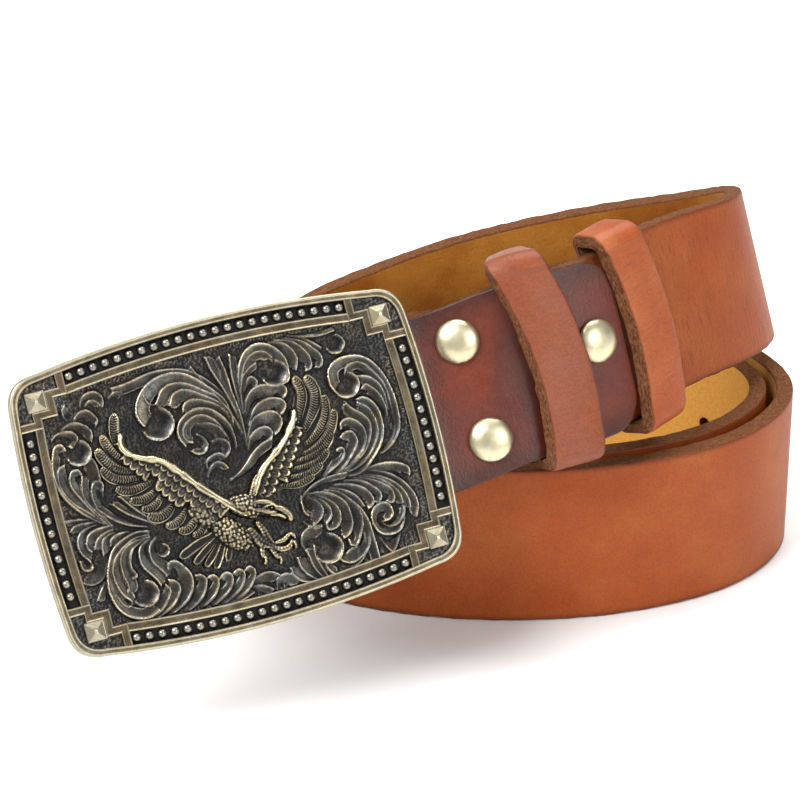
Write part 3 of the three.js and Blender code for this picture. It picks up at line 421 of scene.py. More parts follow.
def flesh_side(name, light, body, dark, painted_light, painted_light_from, painted_light_to):
    """Flesh side: brushed suede, dry and without shine, with a loose nap of fibre, lightened along the
    strip by painted light.
    """
    finish, tree, shader = new_finish(name)
    hide = add_node(tree, "Attribute", attribute_name="hide").outputs["Vector"]
    along = add_node(tree, "SeparateXYZ", (hide,))
    # patches about 22 mm long, and a nap of about 0.6 mm
    drift = add_node(tree, "TexNoise", {"Vector": hide, "Scale": 0.045, "Detail": 3, "Roughness": 0.6})
    nap = add_node(tree, "TexNoise", {"Vector": hide, "Scale": 1.5, "Detail": 5, "Roughness": 0.75})
    tone = add_node(tree, "ValToRGB", (drift,), [(0.36, dark), (0.5, body), (0.66, light)])
    # painted light: the flesh side lightens along the strip towards a lighter colour, standing in for light
    # falling on it; in mm from its buckle end
    light_share = add_node(tree, "MapRange", (along, painted_light_from, painted_light_to, 0, 0.85))
    lit_tone = add_node(tree, "MixRGB", (light_share, tone, painted_light))
    fleck = add_node(tree, "MapRange", (nap, 0.3, 0.7, 0.8, 1.14))
    mixed = add_node(tree, "MixRGB", (1, lit_tone, fleck), blend_type="MULTIPLY")
    fuzz = add_node(tree, "Bump", {"Height": nap, "Strength": 0.7, "Distance": 0.0004})
    fill(shader, {"Base Color": mixed, "Roughness": 0.95, "Specular IOR Level": 0.15, "Sheen Weight": 0.25,
                  "Sheen Roughness": 0.5, "Sheen Tint": "#F0C890", "Normal": fuzz})
    return finish


# Bridle leather: warm tan, finely creased where it bends from the buckle to the coil's front
strap_grain = grain_leather("bridle_leather_tan_grain", "#9E4C1C", "#984414", "#A65824", "#5A2412",
                            roughness=0.46, specular=0.2, creasing=0.55, creased_to=150)
strap_cut = raw_edge("bridle_leather_raw_edge", "#8C5A32", "#56301A")
# the flesh side of the inner turns, which lie in shade, is lifted by painted light towards pale gold from
# 300 mm to 620 mm along the strap
strap_flesh = flesh_side("bridle_leather_flesh", "#B47A30", "#A2641E", "#8E5018", "#E0AC54", 300, 620)
strap = leather_piece("strap_band", hide, skin, faces, sides, [strap_grain, strap_cut, strap_flesh])
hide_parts("strap")
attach(strap, "root")


# ---------------------------------------------------------------------------
# Buckle tab. A strip of darker, thinner leather folded round the buckle's bar,
# its two leaves lying on both faces of the strap, corners rounded.
# ---------------------------------------------------------------------------

TAB_THICKNESS, TAB_STACK = 2.2, 8.8
BAR_AT = 5
TAB_CORNER_FROM, TAB_CORNER = 54.5, 7.8
TAB_BACK_END = 60
TAB_STEP, TAB_ROUNDING = 1.3, 0.4

tab_inset = TAB_THICKNESS / 2
fold_radius = TAB_STACK / 2 - tab_inset
corner_turn = np.radians(np.linspace(4, 88, 12))
front_lengths = np.concatenate([np.arange(BAR_AT, TAB_CORNER_FROM, STRAP_STEP),
                                TAB_CORNER_FROM + TAB_CORNER * np.sin(corner_turn)])
# Middle line from the front leaf's end, round the bar, to the rear leaf's end: length
# along the strap, depth, and the way that the grain side faces
tab_line = [(length, -tab_inset, math.pi / 2) for length in front_lengths[::-1]]
tab_line += [(BAR_AT + fold_radius * math.cos(turn), fold_radius * math.sin(turn) - TAB_STACK / 2, turn)
             for turn in math.pi / 2 + np.linspace(0, math.pi, 18)[1:-1]]
tab_line += [(length, tab_inset - TAB_STACK, 1.5 * math.pi)
             for length in front_lengths if length <= TAB_BACK_END]
tab_line = np.array(tab_line)
tab_run = np.concatenate([[0], np.cumsum(np.hypot(*np.diff(tab_line[:, :2], axis=0).T))])
past_corner = np.clip(tab_line[:, 0] - TAB_CORNER_FROM, 0, TAB_CORNER - 0.02)
tab_halves = STRAP_HALF - TAB_CORNER + np.sqrt(TAB_CORNER ** 2 - past_corner ** 2)
# the skived ends thin out over their last half millimetre
tab_thin = np.ones(len(tab_line))
tab_thin[[0, 1, 2, -1, -2]] = 0.55, 0.8, 0.95, 0.6, 0.9

section, kinds, _ = strip_section(STRAP_WIDTH, TAB_THICKNESS, TAB_STEP, TAB_ROUNDING)
out = section[:, 1] * tab_thin[:, None]
run = np.broadcast_to(tab_run[:, None], out.shape)
ragged = 0.12 * unevenness(run / 1.8, out + 5, 11) + 0.06 * unevenness(run / 0.8, out * 2, 12)
up = STRAP_HALF + section[:, 0] * (tab_halves / STRAP_HALF)[:, None]
up = up + cut_back(section[:, 0], STRAP_HALF, EDGE_BAND, 0.08 + ragged)
# the leather isn't quite even: 0.1 mm over some 13 mm
swell = 0.10 * unevenness(run / 14, up / 12, 13)
length, depth, facing = tab_line.T[:, :, None]
rings = np.stack([length + out * np.cos(facing), up, depth + (out + swell) * np.sin(facing)], axis=2)

# Oiled leather dyed oxblood: the darkest and glossiest piece, near black at its margins,
# which are partly burnished and partly painted shade; painted shade also lies beside the front keeper
tab_grain = grain_leather("oiled_leather_oxblood_grain", "#682C1E", "#7C3012", "#6F3828", "#260C08",
                          roughness=0.38, specular=0.5, creasing=0.07, margin=(11.0, 19.5),
                          handled_and_shaded=(24.0, 36.0))
tab_cut = raw_edge("oiled_leather_oxblood_edge", "#7E4E2C", "#2A120A")
tab_flesh = flesh_side("oiled_leather_oxblood_flesh", "#9A6A3C", "#8A5A34", "#6E4426", "#9A6A3C", 40, 120)
tab = leather_piece("buckle_tab_fold", rings, np.stack([run, up, out], axis=2),
                    *strip_faces(rings, kinds), [tab_grain, tab_cut, tab_flesh])
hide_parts("buckle_tab")
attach(tab, "root")


# ---------------------------------------------------------------------------
# Keepers. Two loops of thick tan leather, bent round the strap and closed at
# the back, which hold the strap's free end. They slide; their edges are raw.
# ---------------------------------------------------------------------------

KEEPER_THICKNESS = 2.7
KEEPER_BEND = 2.25
KEEPER_STEP, KEEPER_EDGE_BAND = 1.2, 1.3
# each keeper bows towards the buckle away from this height
KEEPER_SWEEP, KEEPER_SWEEP_CENTRE = 0.0055, 15
# name: length along the strap, width, then the opening's front, back, foot and head
KEEPERS = {
    "keeper_front": (43.3, 12.6, 2.7, -9.15, -0.4, 41.2),
    "keeper_rear": (68.9, 12.8, 0.4, -6.75, -0.4, 39.8),
}


def keeper_path(front, back, foot, head):
    """Middle line of the loop in the plane across the strap: place and outward way."""
    inset = KEEPER_BEND - KEEPER_THICKNESS / 2
    corners = [(head - inset, front - inset), (head - inset, back + inset),
               (foot + inset, back + inset), (foot + inset, front - inset)]
    rows = []
    for n, (corner, start) in enumerate(zip(np.array(corners), (90, 0, -90, -180))):
        turns = np.radians(start - np.linspace(0, 90, 9))
        ways = np.column_stack([np.cos(turns), np.sin(turns)])
        rows.append(np.hstack([corner + KEEPER_BEND * ways, ways]))
        here, there = (np.array(at) + KEEPER_BEND * ways[-1] for at in (corner, corners[(n + 1) % 4]))
        steps = max(2, round(math.dist(here, there) / KEEPER_STEP))
        share = np.arange(1, steps)[:, None] / steps
        rows.append(np.hstack([here + (there - here) * share, np.tile(ways[-1], (steps - 1, 1))]))
    return np.vstack(rows)


def keeper(node_name, finishes, seed):
    """One keeper loop, swept round the strap with a little give in its faces."""
    along, width, *opening = KEEPERS[node_name]
    path = keeper_path(*opening)
    shape, kinds, _ = strip_section(width, KEEPER_THICKNESS, KEEPER_STEP, EDGE_ROUNDING)
    gaps = np.hypot(*np.diff(path[:, :2], axis=0).T)
    run, flat, out = np.broadcast_arrays(np.concatenate([[0], np.cumsum(gaps)])[:, None], *shape.T)
    place_up, place_out, way_up, way_out = path.T[:, :, None]
    # cut more roughly than the strap: wavy by 0.18 mm every 2 mm, and by 0.14 mm every 1.2 mm
    ragged = 0.18 * unevenness(run / 2, out + 5, seed) + 0.14 * unevenness(run / 1.2, out * 2, seed + 1)
    across = flat + cut_back(shape[:, 0], width / 2, KEEPER_EDGE_BAND, 0.10 + ragged)
    # the cut towards the buckle slants, so that the raw edge shows from the front
    near_buckle = np.clip((2.4 - width / 2 - flat) / 2.4, 0, 1)
    near_tip = np.clip((1.6 - width / 2 + flat) / 1.6, 0, 1)
    across = across + (1.25 * near_buckle - 0.4 * near_tip) * (out / KEEPER_THICKNESS + 0.5)
    # the strip's edges curl in towards the strap, and its front face bellies out
    belly = 0.35 * np.cos(np.pi * np.clip((place_up - 19.5) / 38, -0.5, 0.5)) * (way_out > 0.9)
    curl = -0.25 * (flat / (width / 2)) ** 4
    lifted = out + belly + curl + 0.12 * unevenness(run / 9, across / 7, seed + 2)
    up = place_up + lifted * way_up
    s = along + across - KEEPER_SWEEP * (up - KEEPER_SWEEP_CENTRE) ** 2
    rings = np.stack([s, up, place_out + lifted * way_out], axis=2)
    loop = leather_piece(node_name + "_loop", rings, np.stack([run, flat, lifted], axis=2),
                         *strip_faces(rings, kinds, closed=True), finishes)
    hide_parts(node_name)
    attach(loop, "root")


# Harness leather: one loop dyed a rosy brown, the other a lighter apricot tan, both waxed
front_grain = grain_leather("harness_leather_rosy_grain", "#8A482E", "#92481C", "#8E5238", "#46180E",
                            roughness=0.42, specular=0.3, creasing=0.16, margin=(5.2, 6.4), middle=0)
rear_grain = grain_leather("harness_leather_apricot_grain", "#A6542A", "#A0461A", "#B06238", "#5E2812",
                           roughness=0.42, specular=0.3, creasing=0.26, margin=(5.4, 6.6), middle=0)
keeper_cut = raw_edge("harness_leather_keeper_edge", "#94603A", "#4A2412")
keeper_flesh = flesh_side("harness_leather_keeper_flesh", "#A87440", "#94602E", "#7A4A22", "#A87440",
                          40, 120)
keeper("keeper_front", [front_grain, keeper_cut, keeper_flesh], 21)
keeper("keeper_rear", [rear_grain, keeper_cut, keeper_flesh], 31)


# ---------------------------------------------------------------------------
# Rivets. Double-cap rivets of brass-plated steel, set through both leaves of
# the tab and the strap: a domed cap in front, a flat one behind.
# ---------------------------------------------------------------------------

# along and up the strap
RIVETS = {"rivet_upper": (24.3, 30), "rivet_lower": (26, 8), "rivet_rear": (54.5, 21)}
CAP_BASE = 0.45
CAP_SIDES = 36
# radius, height: the back cap, the post and the domed cap with its rolled rim
BACK_CAP = [(0.0, -0.9), (2.4, -0.88), (3.3, -0.78), (3.75, -0.55), (3.9, -0.25), (3.82, -0.02), (3.6, 0.0),
            (1.6, 0.0)]
FRONT_CAP = [(1.6, 0.0), (4.3, 0.0), (4.62, 0.06), (4.7, 0.28), (4.62, 0.52), (4.4, 0.80), (4.0, 1.12),
             (3.4, 1.46), (2.6, 1.78), (1.7, 1.98), (0.8, 2.08), (0.0, 2.10)]
rivet_profile = [(radius, height - TAB_STACK - CAP_BASE) for radius, height in BACK_CAP]
rivet_profile += [(radius, height + CAP_BASE) for radius, height in FRONT_CAP]

# Bright brass plate: pale yellow and satin, so each cap holds one broad soft light
cap_brass, tree, shader = new_finish("brass_plate_satin")
place = add_node(tree, "TexCoord").outputs["Object"]
# haze patches of 2 mm down to hairlines of 0.3 mm
haze = add_node(tree, "TexNoise", {"Vector": place, "Scale": 450, "Detail": 4, "Roughness": 0.6})
fill(shader, {"Base Color": add_node(tree, "ValToRGB", (haze,), [(0.3, "#D3CAA4"), (0.7, "#E2DBBA")]),
              "Roughness": add_node(tree, "MapRange", (haze, 0.3, 0.7, 0.36, 0.41)), "Metallic": 1,
              "Normal": add_node(tree, "Bump", {"Height": haze, "Strength": 0.05, "Distance": 0.0002})})


def turned(profile, sides):
    """Points and faces turned on a lathe from (radius, height), closed on its axis, in mm."""
    turn = 2 * np.pi * np.arange(sides) / sides
    rings = [np.column_stack([radius * np.cos(turn), radius * np.sin(turn), np.full(sides, height)])
             for radius, height in profile]
    return np.vstack(rings), quads(len(profile), sides)[:, [0, 3, 2, 1]].tolist()


for name, (along, height) in RIVETS.items():
    foot, head = lay([(along, height, 0), (along, height, 1)])
    normal = (head - foot) / np.linalg.norm(head - foot)
    sideways = np.cross((0, 0, 1.0), normal)
    sideways /= np.linalg.norm(sideways)
    points, faces = turned(rivet_profile, CAP_SIDES)
    placed = foot + (points @ np.array([sideways, np.cross(normal, sideways), normal])) / 1000
    rivet = new_object(name + "_cap", placed, faces, [cap_brass])
    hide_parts(name)
    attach(rivet, "root")


# ---------------------------------------------------------------------------
# Buckle casting. One plate of cast brass, 88 x 65 mm, with bowed sides, a
# raised double-lined rim, a sunk bead channel and a recessed back.
# ---------------------------------------------------------------------------

PLATE_CENTRE = np.array((-37.084, -43.925, 52.6))
# the plate's right, up and front
PLATE_WAYS = np.array(((0.9339, 0.3445, 0.0952), (-0.2519, 0.4457, 0.859), (0.2535, -0.8263, 0.503)))
HALF_LENGTH, HALF_LENGTH_AT_CORNER = 43.9, 42.8
HALF_HEIGHT, HALF_HEIGHT_AT_CORNER = 32.3, 29.5
CORNER_RUN = 6.5
# where the bowed sides end and the corners begin
LONG_SIDE_END, SHORT_SIDE_END = HALF_LENGTH_AT_CORNER - CORNER_RUN, HALF_HEIGHT_AT_CORNER - CORNER_RUN
# inset from the outline, height, wear
CASTING_RINGS = [
    (12.0, -2.2, 0.4), (3.7, -2.2, 0.35), (3.3, -2.4, 0.3), (3.2, -3.2, 0.5), (3.0, -3.4, 0.75),
    (0.9, -3.4, 0.7), (0.3, -3.2, 0.85), (0.0, -2.8, 0.7), (0.0, -1.6, 0.62), (0.0, -0.5, 0.75),
    (0.06, -0.22, 0.95), (0.22, -0.05, 1.0), (0.45, 0.0, 0.98), (0.62, -0.04, 0.75), (0.74, -0.1, 0.5),
    (1.02, -0.12, 0.46), (1.14, -0.06, 0.64), (1.26, 0.0, 0.88), (1.42, 0.0, 0.86), (1.56, -0.08, 0.6),
    (1.66, -0.3, 0.25), (1.74, -1.1, 0.0), (3.1, -1.12, 0.04), (4.5, -1.12, 0.0), (6.4, -1.3, 0.0),
]


def plate_outline(inset):
    """The plate's outline, pulled in by an inset, with the same count of points for each.
    Each bowed side and each corner is one quadratic curve."""
    run = max(CORNER_RUN - 0.75 * inset, 0.6)
    wm, wc = HALF_LENGTH - inset, HALF_LENGTH_AT_CORNER - inset
    hm, hc = HALF_HEIGHT - inset, HALF_HEIGHT_AT_CORNER - inset
    x, y = wc - run, hc - run
    half_way = [((-x, -hc), (0, -2 * hm + hc), 48), ((x, -hc), (wc - 0.4, -hc + 0.3), 14),
                ((wc, -y), (2 * wm - wc, 0), 36), ((wc, y), (wc - 0.4, hc - 0.3), 14)]
    bows = [(np.multiply(start, sign), np.multiply(pull, sign), count)
            for sign in (1, -1) for start, pull, count in half_way]
    points = []
    for n, (start, pull, count) in enumerate(bows):
        t = np.arange(count)[:, None] / count
        points.append((1 - t) ** 2 * start + 2 * t * (1 - t) * pull + t * t * bows[(n + 1) % 8][0])
    return np.vstack(points)


def cast_piece(name, points, faces, wear, finish, smooth=True):
    """A cast part from plate places (right, up, front, in mm), with its wear kept."""
    placed = (PLATE_CENTRE + np.asarray(points, float) @ PLATE_WAYS) / 1000
    piece = new_object(name, placed, faces, [finish], smooth)
    rubbed = piece.data.attributes.new("wear", "FLOAT", "POINT")
    rubbed.data.foreach_set("value", np.asarray(wear, np.float32))
    piece.data.update()
    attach(piece, "root")
    return piece


def antiqued(name, stops, metal_from, rough_low, rough_high, grit, bathed=0.25):
    """Antiqued brass: a dark bath left in the hollows, then rubbed back, so that
    edges and high points shine pale and the sunk ground stays near black."""
    finish, tree, shader = new_finish(name)
    wear = add_node(tree, "Attribute", attribute_name="wear").outputs["Fac"]
    place = add_node(tree, "TexCoord").outputs["Object"]
    # cloudy rubbing of 3 mm, and casting grit of 0.4 mm
    cloud = add_node(tree, "TexNoise", {"Vector": place, "Scale": 330, "Detail": 4, "Roughness": 0.6})
    grain = add_node(tree, "TexNoise", {"Vector": place, "Scale": 2600, "Detail": 2, "Roughness": 0.6})
    drift = add_node(tree, "MapRange", (cloud, 0.3, 0.7, -0.10, 0.10))
    spot = add_node(tree, "MapRange", (grain, 0.3, 0.7, -0.06, 0.06))
    uneven = add_node(tree, "Math", (drift, spot), operation="ADD")
    level = add_node(tree, "Math", (wear, uneven), operation="ADD", use_clamp=True)
    tone = add_node(tree, "ValToRGB", (level,), stops)
    # the bath turned blue-grey in some places and brown in others, 4 mm apart
    bath = add_node(tree, "TexNoise", {"Vector": place, "Scale": 240, "Detail": 2, "Roughness": 0.5})
    blued, browned = (0.86, 0.96, 1.12, 1), (1.12, 0.99, 0.82, 1)
    patina = add_node(tree, "ValToRGB", (bath,), [(0.4, blued), (0.6, browned)])
    stained = add_node(tree, "MixRGB", (bathed, tone, patina), blend_type="MULTIPLY")
    bare = add_node(tree, "MapRange", (level, 0.05, 0.5, metal_from, 1))
    rough = add_node(tree, "MapRange", (level, 0.1, 0.9, rough_high, rough_low))
    cast = add_node(tree, "Bump", {"Height": grain, "Strength": grit, "Distance": 0.00012})
    fill(shader, {"Base Color": stained, "Metallic": bare, "Roughness": rough, "Normal": cast})
    return finish


# The border: rubbed back the most, satin and pale on its edges, brown in its grooves
frame_brass = antiqued(
    "antiqued_brass_border",
    [(0.0, "#0D0C0B"), (0.22, "#231F18"), (0.42, "#5D5240"), (0.66, "#897F68"), (1.0, "#B7AE97")],
    metal_from=0.5, rough_low=0.36, rough_high=0.6, grit=0.35)

around = len(plate_outline(0))
points = np.vstack([np.column_stack([plate_outline(inset), np.full(around, height)])
                    for inset, height, _ in CASTING_RINGS])
wear = np.repeat([rubbed for *_, rubbed in CASTING_RINGS], around)
faces = quads(len(CASTING_RINGS), around)[:, [0, 3, 2, 1]].tolist()
faces += [list(range(around))[::-1], list(range(len(points) - around, len(points)))]
casting = cast_piece("buckle_casting", points, faces, wear, frame_brass)
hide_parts("buckle")


# ---------------------------------------------------------------------------
# Border mouldings. Cast with the plate: an inner band along each side, and at
# each corner a stepped band that crosses the bead channel and turns round the
# pyramid. Both carry two rubbed edges with a dull groove between them.
# ---------------------------------------------------------------------------

FOUR_CORNERS = ((1, 1), (-1, 1), (1, -1), (-1, -1))
BAND_INSET = 5.4
BAND_WIDTH, CROSSBAR_WIDTH, CROSSBAR_LIFT = 2.0, 1.85, 0.02
# where the stepped bands cross the bead channels, and how far the inner bands reach under them
CROSSBAR_LONG_AT, CROSSBAR_SHORT_AT, UNDERLAP = 31.3, 19.2, 0.8
CORNER_STEPS = np.array([(CROSSBAR_LONG_AT, 28.9), (CROSSBAR_LONG_AT, 24.9), (34.25, 24.9), (34.25, 21.1),
                         (37.7, 21.1), (37.7, CROSSBAR_SHORT_AT), (41.8, CROSSBAR_SHORT_AT)])
# place across the band from its middle to its edge, height, wear
HALF_BAND = [(0.0, -0.36, 0.36), (0.48, -0.34, 0.42), (0.6, -0.24, 0.72), (0.74, -0.15, 1.0),
             (0.9, -0.22, 0.85), (0.98, -0.45, 0.3), (1.0, -1.2, 0.0)]
BAND_PROFILE = [(-place, height, worn) for place, height, worn in HALF_BAND[:0:-1]] + HALF_BAND


def moulding(line, width, lift=0.0):
    """Band swept along a line with mitred turns: its points, faces and wear."""
    way = np.diff(line, axis=0)
    way /= np.linalg.norm(way, axis=1)[:, None]
    left = np.column_stack([-way[:, 1], way[:, 0]])
    before, after = np.vstack([left[:1], left]), np.vstack([left, left[-1:]])
    mitre = before + after
    mitre /= np.sum(mitre * before, axis=1)[:, None]
    points = [(*(at + turned_out * across * width / 2), height + lift)
              for at, turned_out in zip(line, mitre) for across, height, _ in BAND_PROFILE]
    row = len(BAND_PROFILE)
    faces = quads(len(line), row, wrap=False).tolist()
    faces += [list(range(row)), list(range(len(points) - row, len(points)))[::-1]]
    return points, faces, [worn for *_, worn in BAND_PROFILE] * len(line)


def joined(parts):
    """Several parts of points, faces and wear numbered on as one."""
    points, faces, wear = [], [], []
    for some_points, some_faces, some_wear in parts:
        faces += [[k + len(points) for k in face] for face in some_faces]
        points += list(some_points)
        wear += list(some_wear)
    return points, faces, wear


def sunk_by(x, y):
    """How far the bowed long side and the bowed short side lie in at x and at y."""
    long_bow = (HALF_HEIGHT - HALF_HEIGHT_AT_CORNER) * (x / LONG_SIDE_END) ** 2
    short_bow = (HALF_LENGTH - HALF_LENGTH_AT_CORNER) * (y / SHORT_SIDE_END) ** 2
    return long_bow, short_bow


x = np.linspace(-1, 1, 41) * (CROSSBAR_LONG_AT - UNDERLAP)
y = np.linspace(-1, 1, 25) * (CROSSBAR_SHORT_AT - UNDERLAP)
long_line = np.column_stack([x, HALF_HEIGHT - BAND_INSET - sunk_by(x, 0)[0]])
short_line = np.column_stack([HALF_LENGTH - BAND_INSET - sunk_by(0, y)[1], y])
bands = [moulding(line, BAND_WIDTH)
         for line in (long_line, long_line * (1, -1), short_line, short_line * (-1, 1))]
bands += [moulding(CORNER_STEPS * signs, CROSSBAR_WIDTH, CROSSBAR_LIFT) for signs in FOUR_CORNERS]
cast_piece("buckle_mouldings", *joined(bands), frame_brass, smooth=False)


# ---------------------------------------------------------------------------
# Beads and pyramids. Cast domes 2.2 mm across, 2.66 mm apart, in the channel
# along all four sides, and a four-sided point at each corner, rubbed bright.
# ---------------------------------------------------------------------------

PLATE_FLOOR = -0.9
BEAD_PITCH, BEAD_ROW_INSET = 2.66, 3.05
BEADS_LONG, BEADS_SHORT = 23, 13
BEAD_SIDES = 14
# radius, height over the plate's floor, wear
BEAD_PROFILE = [(1.1, -0.25, 0.0), (1.05, 0.0, 0.1), (0.98, 0.22, 0.4), (0.82, 0.5, 0.65),
                (0.57, 0.74, 0.85), (0.28, 0.88, 0.95), (0.0, 0.92, 1.0)]

# Beads: greyer than the border, bright on top and black where they meet the channel
bead_brass = antiqued(
    "antiqued_brass_beads",
    [(0.0, "#0B0A0A"), (0.3, "#2C2823"), (0.6, "#6E6A60"), (1.0, "#A49F94")],
    metal_from=0.6, rough_low=0.34, rough_high=0.55, grit=0.1)
spots = []
for i in range(BEADS_LONG):
    x = (i - (BEADS_LONG - 1) / 2) * BEAD_PITCH
    y = HALF_HEIGHT - BEAD_ROW_INSET - sunk_by(x, 0)[0]
    spots += [(x, y), (x, -y)]
for i in range(BEADS_SHORT):
    y = (i - (BEADS_SHORT - 1) / 2) * BEAD_PITCH
    x = HALF_LENGTH - BEAD_ROW_INSET - sunk_by(0, y)[1]
    spots += [(x, y), (-x, y)]
dome, dome_faces = turned([(radius, height) for radius, height, _ in BEAD_PROFILE], BEAD_SIDES)
dome_wear = np.repeat([worn for *_, worn in BEAD_PROFILE], BEAD_SIDES)
beads = joined([(dome + (x, y, PLATE_FLOOR), dome_faces, dome_wear) for x, y in spots])
cast_piece("buckle_beads", *beads, bead_brass)

PYRAMID_AT = (37.2, 24.0)
# half size, height, wear: foot, wall, worn arris, then up to the blunt point
PYRAMID_STEPS = [(2.15, -1.1, 0.0), (2.1, -0.3, 0.5), (2.0, -0.12, 0.95), (1.85, -0.08, 0.9),
                 (0.75, 0.55, 0.86), (0.3, 0.76, 0.98)]
square = ((-1, -1), (1, -1), (1, 1), (-1, 1))
pyramid = np.array([(half * i, half * j, height) for half, height, _ in PYRAMID_STEPS for i, j in square])
faces = quads(len(PYRAMID_STEPS), 4)[:, [0, 3, 2, 1]].tolist() + [range(len(pyramid) - 4, len(pyramid))]
wear = np.repeat([worn for *_, worn in PYRAMID_STEPS], 4)
pyramids = joined([(pyramid + (*np.multiply(PYRAMID_AT, signs), 0), faces, wear) for signs in FOUR_CORNERS])
cast_piece("buckle_pyramids", *pyramids, frame_brass, smooth=False)


# ---------------------------------------------------------------------------
# Bar loop and hook. Cast on the back: two ears and the bar that the tab folds
# round on the right, and on the left the headed post that takes the holes.
# ---------------------------------------------------------------------------

BAR_PLATE = np.array((34.0, 2.7, -9.9))
BAR_RADIUS, BAR_REACH, BAR_SIDES = 1.7, 21.5, 20
EAR_GAP, EAR_THICKNESS, EAR_RADIUS = 19.8, 3.0, 2.5
BACK_FLOOR = -1.9
HOOK_AT, HOOK_SIDES = (-29.0, 0.0, 0.0), 24
FITTING_WEAR = 0.62
# radius, distance behind the face: the post swells into the floor and carries a round head
HOOK_PROFILE = [(3.3, -BACK_FLOOR), (2.4, 2.3), (2.05, 3.1), (2.0, 7.2), (2.2, 7.7), (2.75, 7.95),
                (3.0, 8.3), (2.95, 8.75), (2.6, 9.05), (1.6, 9.15), (0.0, 9.18)]

# an ear's outline: wide where it meets the plate, round at the bar
ear = [(-3.4, BACK_FLOOR), (-2.6, BACK_FLOOR - 1.0)]
ear += [(-EAR_RADIUS * math.cos(t), BAR_PLATE[2] - EAR_RADIUS * math.sin(t))
        for t in np.linspace(0, math.pi, 13)]
ear += [(2.6, BACK_FLOOR - 1.0), (3.4, BACK_FLOOR)]
row, ear_middle = len(ear), (BAR_PLATE[2] + BACK_FLOOR) / 2
# how far through the ear, and how full its outline is there
EAR_LAYERS = [(0.0, 0.9), (0.25, 1.0), (EAR_THICKNESS - 0.25, 1.0), (EAR_THICKNESS, 0.9)]
fittings = []
for side in (-1, 1):
    inner = BAR_PLATE[1] + side * EAR_GAP
    points = [(BAR_PLATE[0] + px * grow, inner + side * off, ear_middle + (pz - ear_middle) * grow)
              for off, grow in EAR_LAYERS for px, pz in ear]
    faces = quads(len(EAR_LAYERS), row)[:, [0, 3, 2, 1]][:, ::side].tolist()
    faces += [range(row)[::-side], range(len(points) - row, len(points))[::side]]
    fittings.append((points, faces, [FITTING_WEAR] * len(points)))
bar, faces = turned([(0, -BAR_REACH), (1.3, -BAR_REACH), (BAR_RADIUS, 0.4 - BAR_REACH),
                     (BAR_RADIUS, BAR_REACH - 0.4), (1.3, BAR_REACH), (0, BAR_REACH)], BAR_SIDES)
fittings.append((BAR_PLATE + bar[:, [0, 2, 1]] * (1, 1, -1), faces, [FITTING_WEAR] * len(bar)))
hook, faces = turned(HOOK_PROFILE, HOOK_SIDES)
faces = [face[::-1] for face in faces]
fittings.append((HOOK_AT + hook * (1, 1, -1), faces, [FITTING_WEAR] * len(hook)))
cast_piece("buckle_bar_and_hook", *joined(fittings), frame_brass)


# ---------------------------------------------------------------------------
# Scroll ground. The sunk middle of the plate, cast in low relief: acanthus
# scrolls whose leaves are dished inside thin crests, over a punched ground.
# ---------------------------------------------------------------------------

FIELD_STEP = 0.205
FIELD_INSET = 6.2
